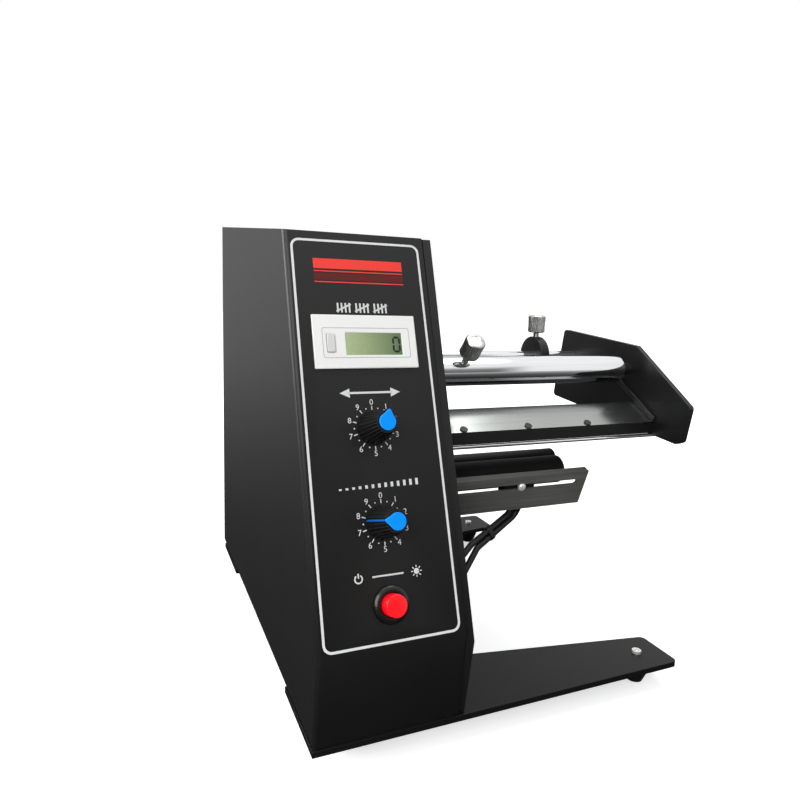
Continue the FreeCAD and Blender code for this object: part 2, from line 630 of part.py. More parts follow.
rod_nuts = []
for number, (y, z, radius) in enumerate([(tube_y, tube_z, d.shaft_radius), (rod_y, rod_z, d.rod_radius)]):
    nut = hex_x(f"rod_nut_hex_{number}", radius + d.nut_wall, d.nut_thickness,
                (plate_left - d.nut_thickness, y, z))
    bore = bar_x(f"rod_nut_bore_{number}", radius + d.fit_gap, d.nut_thickness + 2 * d.spare,
                 (plate_left - d.nut_thickness - d.spare, y, z))
    rod_nuts.append(cut(f"rod_nut_{number}", nut, [bore]))
node(group("rod_nuts", rod_nuts), "rod_nuts")

tube_start = plate_right + d.tube_start_gap
tube_length = span - d.tube_start_gap - d.tube_gap
tube_body = bar_x("front_tube_bar", d.tube_radius, tube_length, (tube_start, tube_y, tube_z))
tube_bore = bar_x("front_tube_bore", d.shaft_radius + d.run_gap, tube_length + 2 * d.spare,
                  (tube_start - d.spare, tube_y, tube_z))
tube_screw_x = left + d.tube_screw_place
screw_bore = round_bar("tube_screw_bore", d.screw_shank + d.fit_gap, d.tube_radius * 2,
                       (tube_screw_x, tube_y, tube_z), AXIS_X, d.tube_screw_lean)
node(cut("front_tube", tube_body, [tube_bore, screw_bore]), "front_tube")


def thumbscrew(label, surface, core, at, lean, neck_length):
    """A knurled thumbscrew that stands on a round part; at is the round part's centre."""
    x, y, z = at
    inner = core + d.clear_gap

    def along(distance):
        return (x, y - distance * sine(lean), z + distance * cosine(lean))

    neck_at = surface + d.thumb_lift
    shank = round_bar(f"{label}_shank", d.screw_shank, neck_at - inner, along(inner), AXIS_X, lean)
    neck = round_bar(f"{label}_neck", d.thumb_neck_radius, neck_length, along(neck_at), AXIS_X, lean)
    head = round_bar(f"{label}_head", d.thumb_radius, d.thumb_height, along(neck_at + neck_length),
                     AXIS_X, lean)
    return node(join(label, [shank, neck, head]), label)


thumbscrew("tube_thumbscrew", d.tube_radius, d.shaft_radius, (tube_screw_x, tube_y, tube_z),
           d.tube_screw_lean, d.tube_neck)

disc_x = left + d.disc_place
disc_bar = bar_x("label_disc_bar", d.disc_radius, d.disc_width, (disc_x, rod_y, rod_z))
disc_bore = bar_x("label_disc_bore", d.rod_radius + d.run_gap, d.disc_width + 2 * d.spare,
                  (disc_x - d.spare, rod_y, rod_z))
disc_middle = disc_x + d.disc_width / 2
disc_tap = round_bar("label_disc_tap", d.screw_shank + d.fit_gap, d.disc_radius * 2,
                     (disc_middle, rod_y, rod_z))
node(cut("label_disc", disc_bar, [disc_bore, disc_tap]), "label_disc")
thumbscrew("disc_thumbscrew", d.disc_radius, d.rod_radius, (disc_middle, rod_y, rod_z), as_size(0.0),
           d.disc_neck)

# ---------------------------------------------------------------- peel plate

under = d.peel_thickness
peel_length = span - d.rail_thickness
rear_y = peel_y + d.peel_depth * slope_cosine
rear_z = peel_z + d.peel_depth * slope_sine
peel_outline = [(peel_y, peel_z), (peel_y + under * slope_sine, peel_z - under * slope_cosine),
                (rear_y + under * slope_sine, rear_z - under * slope_cosine), (rear_y, rear_z)]
peel_body = plate_x("peel_sheet", peel_outline, peel_length, plate_right)
peel_screw_places = [plate_right + d.peel_screw_first + d.peel_screw_step * number
                     for number in range(PEEL_SCREW_COUNT)]


def peel_bar_tool(name, radius, length, x, inward, out):
    """A cylinder square to the sloping peel plate: inward up its slope, out above its face."""
    y = peel_y + inward * slope_cosine - out * slope_sine
    z = peel_z + inward * slope_sine + out * slope_cosine
    return round_bar(name, radius, length, (x, y, z), AXIS_X, d.peel_slope)


peel_holes = [peel_bar_tool(f"peel_hole_{number}", d.peel_screw_radius + d.clear_gap, under + 2 * d.spare, x,
                            d.peel_screw_in, -under - d.spare)
              for number, x in enumerate(peel_screw_places)]
node(cut("peel_plate", peel_body, peel_holes), "peel_plate")

slope_ratio = slope_sine / slope_cosine
drop = under / slope_cosine


def under_peel(y):
    """Height of the peel plate's underside at a depth."""
    return peel_z - drop + (y - peel_y) * slope_ratio


bar_back = bar_y + d.bar_depth
bar_outline = [(bar_y, bar_bottom), (bar_back, bar_bottom), (bar_back, under_peel(bar_back)),
               (bar_y, under_peel(bar_y))]
bar_body = plate_x("peel_bar_block", bar_outline, span, plate_right)
bar_tap = d.thread_depth + d.spare
bar_tools = [bar_x(f"bar_tap_{side}", d.screw_shank + d.fit_gap, bar_tap, (start, bar_screw_y, bar_screw_z))
             for side, start in (("left", plate_right - d.spare), ("right", side_left - d.thread_depth))]
peel_tap = d.peel_screw_length + d.clear_gap
bar_tools += [peel_bar_tool(f"bar_hole_{number}", d.peel_screw_radius + d.fit_gap, peel_tap + d.spare, x,
                            d.peel_screw_in, -peel_tap)
              for number, x in enumerate(peel_screw_places)]
node(cut("peel_bar", bar_body, bar_tools), "peel_bar")
peel_screws = []
for number, x in enumerate(peel_screw_places):
    low_head = peel_bar_tool(f"peel_screw_head_{number}", d.peel_head_radius, d.peel_head_height, x,
                             d.peel_screw_in, 0.0)
    thread = peel_bar_tool(f"peel_screw_thread_{number}", d.peel_screw_radius, d.peel_screw_length, x,
                           d.peel_screw_in, -d.peel_screw_length)
    peel_screws.append(join(f"peel_screw_{number}", [low_head, thread]))
node(group("peel_plate_screws", peel_screws), "peel_plate_screws")
node(block("side_rail", (d.rail_thickness, d.rail_length, d.rail_height),
           (side_left - d.rail_thickness, peel_y, peel_z), AXIS_X, d.peel_slope), "side_rail")
side_screws.append(cap_screw("bar_screw", bar_screw_y, bar_screw_z, plate_left,
                             d.plate_thickness + thread_length, -1.0))
node(group("rod_screws", side_screws), "rod_screws")

# ---------------------------------------------------------------- drive

roller_start = plate_right + d.roller_gap
roller_bar = bar_x("drive_rubber", d.drive_radius, d.drive_length, (roller_start, drive_y, drive_z))
roller_bore = bar_x("drive_bore", d.spindle_radius + d.fit_gap, d.drive_length + 2 * d.spare,
                    (roller_start - d.spare, drive_y, drive_z))
node(cut("drive_roller", roller_bar, [roller_bore]), "drive_roller")
spindle_start = plate_left - d.spindle_inside
node(bar_x("drive_shaft", d.spindle_radius, roller_start + d.drive_length - spindle_start,
           (spindle_start, drive_y, drive_z)), "drive_shaft")
ring = bar_x("bearing_ring", d.bearing_radius, d.plate_thickness, (plate_left, drive_y, drive_z))
ring_bore = bar_x("bearing_bore", d.spindle_radius + d.run_gap, d.plate_thickness + 2 * d.spare,
                  (plate_left - d.spare, drive_y, drive_z))
node(cut("shaft_bearing", ring, [ring_bore]), "shaft_bearing")

pinch_bar = bar_x("pinch_sleeve", d.pinch_radius, d.pinch_length, (roller_start, pinch_y, pinch_z))
pinch_bore = bar_x("pinch_bore", d.pinch_shaft_radius + d.run_gap, d.pinch_length + 2 * d.spare,
                   (roller_start - d.spare, pinch_y, pinch_z))
node(cut("pinch_roller", pinch_bar, [pinch_bore]), "pinch_roller")
pinch_end = roller_start + d.pinch_length + d.clear_gap
node(bar_x("pinch_shaft", d.pinch_shaft_radius, pinch_end - plate_left, (plate_left, pinch_y, pinch_z)),
     "pinch_shaft")

gear_left = plate_left - d.gearbox_length
gear_bar = bar_x("gearbox_case", d.gearbox_radius, d.gearbox_length, (gear_left, drive_y, drive_z))
gear_bore = d.spindle_inside + d.clear_gap
motor_tap = d.motor_thread + d.clear_gap
gear_tools = [bar_x("gearbox_bore", d.spindle_radius + d.run_gap, gear_bore + d.spare,
                    (plate_left - gear_bore, drive_y, drive_z))]
gear_tools += [bar_x(f"gearbox_tap_{number}", d.screw_shank + d.fit_gap, motor_tap + d.spare,
                     (plate_left - motor_tap, y, z)) for number, (y, z) in enumerate(motor_screw_places)]
node(cut("gearbox", gear_bar, gear_tools), "gearbox")
node(bar_x("drive_motor", d.motor_radius, d.motor_length, (gear_left - d.motor_length, drive_y, drive_z)),
     "drive_motor")
motor_screws = [cap_screw(f"motor_screw_{number}", y, z, plate_right, d.plate_thickness + d.motor_thread)
                for number, (y, z) in enumerate(motor_screw_places)]

# ---------------------------------------------------------------- sensor on its slotted bracket

tilt_sine = sine(d.bracket_tilt)
tilt_cosine = cosine(d.bracket_tilt)
sheet_thickness = d.bracket_sheet


def bracket_point(down, behind):
    """Y and Z of a point down the tilted bracket face and behind it."""
    y = peel_y + down * tilt_sine + behind * tilt_cosine
    z = peel_z - d.bracket_drop - down * tilt_cosine + behind * tilt_sine
    return (y, z)


def bracket_place(thing, x, down, behind):
    """Put an object in the bracket's own tilted directions."""
    y, z = bracket_point(down, behind)
    return place(thing, (x, y, z), AXIS_X, d.bracket_tilt)


bracket_body = new_body("bracket_sheet_body", (plate_right, 0.0, 0.0))
bracket_profile = sketch_on(bracket_body, "YZ_Plane", "bracket_profile")
draw_polygon(bracket_profile, [bracket_point(0.0, 0.0), bracket_point(d.bracket_height, 0.0),
                               bracket_point(d.bracket_height, sheet_thickness),
                               bracket_point(sheet_thickness, sheet_thickness),
                               bracket_point(sheet_thickness, d.bracket_lip),
                               bracket_point(0.0, d.bracket_lip)])
pad(bracket_body, bracket_profile, d.bracket_length, "bracket_pad")
bracket_foot = sketch_on(bracket_body, "YZ_Plane", "bracket_foot")
foot_back = peel_y + d.bracket_foot_reach
draw_polygon(bracket_foot, [bracket_point(d.bracket_foot_root, 0.0), bracket_point(d.bracket_height, 0.0),
                            (foot_back, bracket_foot_z - d.bracket_foot_half),
                            (foot_back, bracket_foot_z + d.bracket_foot_half)])
pad(bracket_body, bracket_foot, sheet_thickness, "bracket_foot_pad")
slot_ends = [d.slot_start, d.slot_start + d.slot_length]
slot_tools = [bracket_place(block("slot_middle", (d.slot_length, sheet_thickness * 4, d.slot_width),
                                  (0, 0, 0)),
                            plate_right + d.slot_start, d.slot_drop + d.slot_width / 2, -2 * sheet_thickness)]
for number, end in enumerate(slot_ends):
    y, z = bracket_point(d.slot_drop, 3 * sheet_thickness)
    slot_tools.append(round_bar(f"slot_end_{number}", d.slot_width / 2, sheet_thickness * 5,
                                (plate_right + end, y, z), AXIS_X, 90.0 + d.bracket_tilt))
foot_holes = [bar_x(f"bracket_hole_{number}", d.screw_shank + d.fit_gap, sheet_thickness + 2 * d.spare,
                    (plate_right - d.spare, y, z)) for number, (y, z) in enumerate(bracket_screw_places)]
node(cut("sensor_bracket", bracket_body, slot_tools + foot_holes), "sensor_bracket")
bracket_screws = [cap_screw(f"bracket_screw_{number}", y, z, plate_right + sheet_thickness,
                            d.plate_thickness + sheet_thickness - d.clear_gap)
                  for number, (y, z) in enumerate(bracket_screw_places)]
node(group("plate_screws", post_screws + motor_screws + bracket_screws), "plate_screws")

sensor_x = plate_right + d.sensor_place
sensor_half = d.sensor_width / 2
sensor_top = d.slot_drop - d.sensor_above
sensor_case = bracket_place(block("sensor_case", (d.sensor_width, d.sensor_depth, d.sensor_height),
                                  (0, 0, 0)),
                            sensor_x - sensor_half, sensor_top + d.sensor_height, sheet_thickness)
sensor_throat = bracket_place(block("sensor_throat", (d.sensor_width + 2 * d.spare, d.sensor_depth,
                                                      d.sensor_throat),
                                    (0, 0, 0)),
                              sensor_x - sensor_half - d.spare, sensor_top + d.throat_down,
                              sheet_thickness + d.throat_in)
sensor_tap_depth = d.sensor_thread + d.clear_gap
tap_y, tap_z = bracket_point(d.slot_drop, sheet_thickness + sensor_tap_depth)
sensor_tap = round_bar("sensor_tap", d.screw_shank + d.fit_gap, sensor_tap_depth + d.spare,
                       (sensor_x, tap_y, tap_z), AXIS_X, 90.0 + d.bracket_tilt)
node(cut("label_sensor", sensor_case, [sensor_throat, sensor_tap]), "label_sensor")
head_y, head_z = bracket_point(d.slot_drop, 0.0)
shank_y, shank_z = bracket_point(d.slot_drop, sheet_thickness + d.sensor_thread)
screw_parts = [round_bar("sensor_screw_head", d.sensor_head, d.sensor_head_height, (sensor_x, head_y, head_z),
                         AXIS_X, 90.0 + d.bracket_tilt),
               round_bar("sensor_screw_shank", d.screw_shank, sheet_thickness + d.sensor_thread,
                         (sensor_x, shank_y, shank_z), AXIS_X, 90.0 + d.bracket_tilt)]
node(join("sensor_screw", screw_parts), "sensor_screw")


def rounded_path(points, bend):
    """A wire through the points: straight runs joined by tangent arcs."""
    edges = []
    start = points[0]
    for before, corner, after in zip(points, points[1:], points[2:]):
        inward = (corner - before).normalize()
        outward = (after - corner).normalize()
        turn = inward.getAngle(outward)
        trim = bend * math.tan(turn / 2)
        first, last = corner - inward * trim, corner + outward * trim
        to_centre = (outward - inward).normalize()
        centre = corner + to_centre * (bend / math.cos(turn / 2))
        middle = centre - to_centre * bend
        edges.append(Part.makeLine(start, first))
        edges.append(Part.Arc(first, middle, last).toShape())
        start = last
    edges.append(Part.makeLine(start, points[-1]))
    return Part.Wire(edges)


def cable(label, points, radius, bend):
    """A round cable along a rounded path."""
    path = rounded_path(points, bend)
    section = Part.Wire([Part.makeCircle(radius, points[0], points[1] - points[0])])
    thing = doc.addObject("Part::Feature", label)
    thing.Shape = path.makePipeShell([section], True, False)
    thing.Placement = FreeCAD.Placement()
    return node(thing, label)


# The two cables leave the sensor side by side, meet behind the bracket and enter the box one above the other.
exit_y, exit_z = bracket_point(sensor_top + d.sensor_height, sheet_thickness + d.sensor_depth / 2)
down = FreeCAD.Vector(0, tilt_sine.value, -tilt_cosine.value)
for label, side, lift in (("sensor_cable", 1.0, 0.0), ("emitter_cable", -1.0, d.emitter_lift)):
    shift = side * d.cable_side
    entry_z = grommet_z - side * d.cable_entry
    stops = [(sensor_x + shift + d.cable_exit, exit_y, exit_z),
             (plate_right + d.cable_knee_out + shift, grommet_y + d.cable_knee_behind,
              grommet_z + d.cable_knee_up + lift),
             (plate_right + d.cable_turn_out + side * d.cable_spread, grommet_y, entry_z),
             (plate_left, grommet_y, entry_z)]
    begin, knee, turn_in, entry = [FreeCAD.Vector(*(value.value for value in stop)) for stop in stops]
    drop = down * (d.cable_drop - lift).value
    cable(label, [begin, begin + drop, knee, turn_in, entry], d.cable_radius.value, d.cable_bend.value)
grommet_bar = bar_x("grommet_ring", d.grommet_radius, d.plate_thickness, (plate_left, grommet_y, grommet_z))
grommet_lip = bar_x("grommet_lip", d.grommet_radius + d.grommet_lip, d.grommet_lip_height,
                    (plate_right, grommet_y, grommet_z))
grommet_bore = bar_x("grommet_bore", d.cable_entry + d.cable_radius + d.cable_gap,
                     d.plate_thickness + 3 * d.spare,
                     (plate_left - d.spare, grommet_y, grommet_z))
node(cut("cable_grommet", join("grommet_solid", [grommet_bar, grommet_lip]), [grommet_bore]), "cable_grommet")

# ---------------------------------------------------------------- counter

rim_top = d.counter_rim
bezel = panel_block("counter_rim_block", (d.counter_width, d.counter_height, d.counter_rim),
                    counter_left, counter_base, 0.0)
inner_case = panel_block("counter_box", (d.counter_body_width, d.counter_body_height,
                                          d.counter_body_depth), body_left, body_base, -d.counter_body_depth)
window_at = (counter_left + d.window_left, counter_base + d.window_low)
key_at = (counter_left + d.key_left, counter_base + d.key_low)
window_hole = panel_block("window_hole", (d.window_width, d.window_height, d.window_depth * 2),
                          window_at[0], window_at[1], rim_top - d.window_depth)
key_hole = panel_block("key_hole", (d.key_width, d.key_height, d.key_drop * 2), key_at[0], key_at[1],
                       rim_top - d.key_drop)
node(cut("counter_case_and_rim", join("counter_solid", [bezel, inner_case]), [window_hole, key_hole]),
     "counter_case")
fit = d.fit_gap
node(panel_block("counter_window", (d.window_width - 2 * fit, d.window_height - 2 * fit, d.window_sheet),
                 window_at[0] + fit, window_at[1] + fit, rim_top - d.window_depth), "counter_window")
node(panel_block("reset_key", (d.key_width - 2 * d.key_gap, d.key_height - 2 * d.key_gap,
                               d.key_drop - d.key_travel + d.key_out),
                 key_at[0] + d.key_gap, key_at[1] + d.key_gap, rim_top - d.key_drop + d.key_travel),
                 "reset_key")

# ---------------------------------------------------------------- dials

taper_ratio = sine(d.knob_taper) / cosine(d.knob_taper)

def dial(word, up, turn):
    """A knob with its pointer cap, on the spindle of a potentiometer behind the panel."""
    pot = panel_bar(f"{word}_pot_can", d.pot_radius, d.pot_height, middle, up, -d.cover_wall - d.pot_height)
    bush = panel_bar(f"{word}_pot_bush", d.bush_radius, d.cover_wall + d.knob_lift / 2, middle, up,
                     -d.cover_wall)
    half_can = d.cover_wall + d.pot_height / 2
    bore = panel_bar(f"{word}_pot_bore", d.stem_radius + d.run_gap, half_can + d.knob_lift + d.spare,
                     middle, up,
                     -half_can)
    node(cut(f"{word}_potentiometer", join(f"{word}_pot_solid", [pot, bush]), [bore]),
         f"{word}_potentiometer")
    stem_low = d.clear_gap - half_can
    bore_top = d.knob_lift + d.knob_height - d.knob_top
    node(panel_bar(f"{word}_spindle", d.stem_radius, bore_top - stem_low, middle, up, stem_low),
         f"{word}_spindle")

    knob = on_panel(new_body(f"{word}_knob_grip"), middle, up, d.knob_lift)
    grip = knob.newObject("PartDesign::AdditiveCone", f"{word}_knob_cone")
    bind(grip, "Radius1", d.knob_radius)
    bind(grip, "Radius2", d.knob_radius - d.knob_height * taper_ratio)
    bind(grip, "Height", d.knob_height)
    # One flute follows the taper of the grip; the pattern repeats it round the axis.
    flute = knob.newObject("PartDesign::SubtractiveCylinder", f"{word}_flute")
    bind(flute, "Radius", d.flute_radius)
    bind(flute, "Height", d.knob_height * 2)
    place(flute, (d.knob_radius + d.flute_out + d.spare * taper_ratio, 0.0, -d.spare), AXIS_Y, -d.knob_taper)
    ring_of = knob.newObject("PartDesign::PolarPattern", f"{word}_flutes")
    ring_of.Originals = [flute]
    ring_of.Axis = (next(item for item in knob.Origin.OriginFeatures if item.Role == "Z_Axis"), [""])
    ring_of.Angle = 360.0
    ring_of.Occurrences = FLUTE_COUNT
    knob.Tip = ring_of
    bore = panel_bar(f"{word}_knob_bore", d.stem_radius + d.fit_gap, bore_top - d.knob_lift + d.spare,
                     middle, up,
                     d.knob_lift - d.spare)
    node(cut(f"{word}_knob", knob, [bore]), f"{word}_knob")

    cap = on_panel(new_body(f"{word}_knob_cap"), middle, up, d.knob_lift + d.knob_height)
    cap_disc = sketch_on(cap, "XY_Plane", f"{word}_cap_disc")
    draw_circle(cap_disc, 0.0, 0.0, d.cap_radius)
    pad(cap, cap_disc, d.cap_height, f"{word}_cap_disc_pad")
    cap_point = sketch_on(cap, "XY_Plane", f"{word}_cap_point")
    draw_polygon(cap_point, [(x * cosine(turn) + y * sine(turn), y * cosine(turn) - x * sine(turn))
                             for x, y in ((-d.cap_half_shoulder, d.cap_shoulder),
                                          (d.cap_half_shoulder, d.cap_shoulder),
                                          (d.cap_half_tip, d.cap_tip), (-d.cap_half_tip, d.cap_tip))])
    pad(cap, cap_point, d.cap_height, f"{word}_cap_point_pad")
    node(cap, f"{word}_knob_cap")


dial("length", d.length_at, d.length_turn)
dial("speed", d.speed_at, d.speed_turn)

# ---------------------------------------------------------------- power button

rim = panel_bar("button_rim", d.button_rim, d.button_rim_height, middle, d.button_at, 0.0)
barrel = panel_bar("button_barrel", d.button_barrel, d.button_barrel_depth, middle, d.button_at,
                   -d.button_barrel_depth)
well_low = -d.button_in - d.button_travel - d.clear_gap
well = panel_bar("button_well", d.button_radius + d.run_gap, d.button_rim_height + d.spare - well_low, middle,
                 d.button_at, well_low)
node(cut("button_housing", join("button_solid", [rim, barrel]), [well]), "button_housing")
node(panel_bar("power_button", d.button_radius, d.button_out + d.button_in, middle, d.button_at,
               -d.button_in),
     "power_button")

# ---------------------------------------------------------------- electronics

board_x = plate_left - d.board_stand - d.board_sheet
board = block("board_sheet", (d.board_sheet, d.board_length, d.board_height), (board_x, board_y, board_z))
board_holes = [bar_x(f"board_hole_{number}", d.screw_shank + d.fit_gap, d.board_sheet + 2 * d.spare,
                     (board_x - d.spare, y, z)) for number, (y, z) in enumerate(stand_places)]
node(cut("circuit_board", board, board_holes), "circuit_board")
stands = []
for number, (y, z) in enumerate(stand_places):
    stand = bar_x(f"stand_bar_{number}", d.stand_radius, d.board_stand, (board_x + d.board_sheet, y, z))
    stud = bar_x(f"stand_stud_{number}", d.screw_shank,
                 d.stud_out + d.board_sheet + d.board_stand + d.stud_in,
                 (board_x - d.stud_out, y, z))
    stands.append(join(f"stand_{number}", [stand, stud]))
node(group("board_standoffs", stands), "board_standoffs")
parts_on_board = [bar_x(f"capacitor_{number}", d.capacitor_radius, d.capacitor_height,
                        (board_x - d.capacitor_height,
                         board_y + d.capacitor_first + number * d.capacitor_step,
                         board_z + d.capacitor_up)) for number in range(4)]
parts_on_board += [block(f"chip_{row}_{column}", (d.chip_thickness, d.chip_length, d.chip_height),
                         (board_x - d.chip_thickness, board_y + d.chip_first + column * d.chip_step,
                          board_z + d.chip_up + row * d.chip_rise)) for row in range(2) for column in range(2)]
node(group("board_components", parts_on_board), "board_components")

core_x, core_y = left + d.core_left, front + d.core_back
core = block("core_block", (d.core_width, d.core_length, d.core_height), (core_x, core_y, cover_low))
# The core is a frame with a middle bar. The coil goes round that bar, through both windows.
window_width = d.core_length / 6
window_height = d.core_height * 0.6
window_low = cover_low + (d.core_height - window_height) / 2
window_starts = [core_y + window_width, core_y + 4 * window_width]
windows = [block(f"core_window_{number}", (d.core_width + 2 * d.spare, window_width, window_height),
                 (core_x - d.spare, start, window_low)) for number, start in enumerate(window_starts)]
node(cut("transformer_core", core, windows), "transformer_core")
coil_outer = block("coil_outer", (d.core_width + 2 * d.coil_bulge, 4 * window_width - 2 * d.coil_gap,
                                  window_height - 2 * d.coil_gap),
                   (core_x - d.coil_bulge, window_starts[0] + d.coil_gap, window_low + d.coil_gap))
coil_inner = block("coil_inner", (d.core_width + 2 * d.coil_gap, 2 * (window_width + d.coil_gap),
                                  window_height + 2 * d.spare),
                   (core_x - d.coil_gap, window_starts[0] + window_width - d.coil_gap, window_low - d.spare))
node(cut("transformer_coil", coil_outer, [coil_inner]), "transformer_coil")

# ---------------------------------------------------------------- connector plate at the back

inlet_z = inlet_low + d.inlet_up
fuse_z = inlet_low + d.fuse_up
plate_back = back + d.inlet_sheet
inlet_sheet = block("inlet_sheet_block", (d.inlet_plate_width, d.inlet_sheet, d.inlet_plate_height),
                    (inlet_x - d.inlet_plate_width / 2, back, inlet_low))
inlet_tools = [block("inlet_cutout", (d.inlet_width + 2 * fit, d.inlet_sheet + 2 * d.spare,
                                      d.inlet_height + 2 * fit),
                     (inlet_x - d.inlet_width / 2 - fit, back - d.spare, inlet_z - d.inlet_height / 2 - fit))]
inlet_tools += [round_bar(f"inlet_hole_{number}", radius + fit, d.inlet_sheet + 2 * d.spare,
                          (x, plate_back + d.spare, z), AXIS_X, 90.0)
                for number, (x, z, radius) in enumerate([(inlet_x, fuse_z, d.fuse_radius)]
                                                        + [(x, z, d.screw_shank) for x,
                                                           z in inlet_screw_places])]
node(cut("connector_plate", inlet_sheet, inlet_tools), "connector_plate")

inlet_flange = block("inlet_flange", (d.inlet_width + 2 * d.inlet_rim, d.inlet_rim,
                                      d.inlet_height + 2 * d.inlet_rim),
                     (inlet_x - d.inlet_width / 2 - d.inlet_rim, plate_back,
                      inlet_z - d.inlet_height / 2 - d.inlet_rim))
inlet_case = block("inlet_case", (d.inlet_width, d.inlet_depth, d.inlet_height),
                   (inlet_x - d.inlet_width / 2, plate_back - d.inlet_depth, inlet_z - d.inlet_height / 2))
socket_low = plate_back + d.inlet_rim - d.socket_depth
socket = block("inlet_socket", (d.inlet_width - 2 * d.socket_side, d.socket_depth + d.spare,
                                d.inlet_height - 2 * d.socket_side),
               (inlet_x - d.inlet_width / 2 + d.socket_side, socket_low,
                inlet_z - d.inlet_height / 2 + d.socket_side))
node(cut("mains_inlet", join("inlet_solid", [inlet_flange, inlet_case]), [socket]), "mains_inlet")
pins = [block(f"inlet_pin_{number}", (d.pin_width, d.pin_length, d.pin_height),
              (inlet_x - d.pin_width / 2 + x, socket_low, inlet_z - d.pin_height / 2 + z))
        for number, (x, z) in enumerate(((-d.pin_step, -d.pin_drop), (0.0, d.pin_rise),
                                         (d.pin_step, -d.pin_drop)))]
node(group("inlet_pins", pins), "inlet_pins")
fuse_head = round_bar("fuse_head", d.fuse_radius + d.fuse_lap, d.fuse_head_height,
                      (inlet_x, plate_back + d.fuse_head_height, fuse_z), AXIS_X, 90.0)
fuse_tail = round_bar("fuse_tail", d.fuse_radius, d.fuse_depth, (inlet_x, plate_back, fuse_z), AXIS_X, 90.0)
node(join("fuse_holder", [fuse_head, fuse_tail]), "fuse_holder")
plate_bolts = []
for number, (x, z) in enumerate(inlet_screw_places):
    head = round_bar(f"connector_screw_head_{number}", d.screw_head, d.screw_head_height,
                     (x, plate_back + d.screw_head_height, z), AXIS_X, 90.0)
    shank = round_bar(f"connector_screw_shank_{number}", d.screw_shank, d.connector_thread,
                      (x, plate_back, z),
                      AXIS_X, 90.0)
    plate_bolts.append(join(f"connector_screw_{number}", [head, shank]))
node(group("connector_screws", plate_bolts), "connector_screws")

# ---------------------------------------------------------------- check and export

doc.recompute()
failed = [thing.Name for thing in doc.Objects if {"Invalid", "Error"} & set(thing.State)]
if failed:
    raise RuntimeError(f"objects in error: {failed}")
for thing in NODES:
    if thing.Shape.isNull() or not thing.Shape.isValid() or not thing.Shape.Solids:
        raise RuntimeError(f"{thing.Label} has no valid solid")
os.makedirs("parts", exist_ok=True)
for thing in NODES:
    thing.Shape.exportStep(os.path.join("parts", f"{thing.Label}.step"))
box = FreeCAD.BoundBox()
for thing in NODES:
    box.add(thing.Shape.BoundBox)
print(len(NODES), "sub-parts", box)
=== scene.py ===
"""Desktop label dispenser: the slanted control box, its printed panel and the open arm of rods."""

import json
import logging
import math
from dataclasses import dataclass, field
from enum import Enum
from typing import Callable, Iterable, Sequence

import bmesh
import bpy
import numpy as np
from mathutils import Matrix, Vector

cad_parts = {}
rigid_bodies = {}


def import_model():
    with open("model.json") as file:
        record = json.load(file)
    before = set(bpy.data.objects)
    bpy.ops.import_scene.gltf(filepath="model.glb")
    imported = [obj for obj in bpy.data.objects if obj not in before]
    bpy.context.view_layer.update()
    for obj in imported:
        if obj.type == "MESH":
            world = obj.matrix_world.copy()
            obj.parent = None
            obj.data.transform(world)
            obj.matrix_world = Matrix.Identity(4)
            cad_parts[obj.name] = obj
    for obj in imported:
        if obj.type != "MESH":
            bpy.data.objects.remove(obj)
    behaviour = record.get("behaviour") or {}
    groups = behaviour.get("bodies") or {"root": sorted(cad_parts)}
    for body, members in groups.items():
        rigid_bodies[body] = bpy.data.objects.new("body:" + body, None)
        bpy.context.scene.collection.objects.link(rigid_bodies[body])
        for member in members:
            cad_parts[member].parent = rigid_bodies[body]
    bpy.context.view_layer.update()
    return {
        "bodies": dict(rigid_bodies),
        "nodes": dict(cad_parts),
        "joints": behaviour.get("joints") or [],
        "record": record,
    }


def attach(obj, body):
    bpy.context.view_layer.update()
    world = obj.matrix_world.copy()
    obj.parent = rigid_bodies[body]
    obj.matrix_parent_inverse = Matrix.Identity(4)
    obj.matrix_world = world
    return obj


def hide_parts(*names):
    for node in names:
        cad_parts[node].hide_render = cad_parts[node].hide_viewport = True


LOG = logging.getLogger("label_dispenser")
MM = 0.001
Colour = tuple[float, float, float]
Point = tuple[float, float, float]
Output = tuple[bpy.types.Node, str]


class Grain(Enum):
    """The kinds of surface grain that a finish can carry."""

    PAINT = "paint"
    BRUSHED = "brushed"
    RUBBER = "rubber"
    LAMINATE = "laminate"


@dataclass(frozen=True)
class Finish:
    """One surface finish: its colour, its gloss and the grain that varies them."""

    slot: str
    colour: Colour
    roughness: float
    scale: float
    shade: float
    rough_spread: float
    bump: float
    grain: Grain = Grain.PAINT
    metallic: float = 0.0
    coat: float = 0.0
    glow: float = 0.0
    specular: float = 0.5
    # far_colour with fade: painted shade, the colour blends into this darker colour between the two X places
    # of fade, in metres.
    far_colour: Colour | None = None
    fade: tuple[float, float] = (0.0, 1.0)


PAINT = Finish("cover_paint", (0.0052, 0.0053, 0.0051), 0.43, 1400.0, 0.16, 0.10, 0.05, specular=0.36)
LEG_PAINT = Finish("leg_paint", (0.0070, 0.0070, 0.0070), 0.40, 1400.0, 0.16, 0.10, 0.05, specular=0.18)
ANODISED = Finish("black_anodised", (0.0080, 0.0078, 0.0080), 0.40, 2200.0, 0.2, 0.08, 0.03, specular=0.3)
BRACKET = Finish("black_anodised", (0.105, 0.108, 0.098), 0.44, 700.0, 0.2, 0.10, 0.02, Grain.BRUSHED, 0.2,
                 specular=0.3)
PLATE_EDGE = Finish("black_anodised", (0.0095, 0.0095, 0.0095), 0.36, 1800.0, 0.2, 0.08, 0.03, specular=0.4)
TRACK = Finish("black_anodised", (0.014, 0.014, 0.014), 0.34, 1400.0, 0.15, 0.08, 0.01)
FOOT = Finish("foot_rubber", (0.008, 0.008, 0.008), 0.60, 1600.0, 0.25, 0.10, 0.08, Grain.RUBBER,
              specular=0.3)
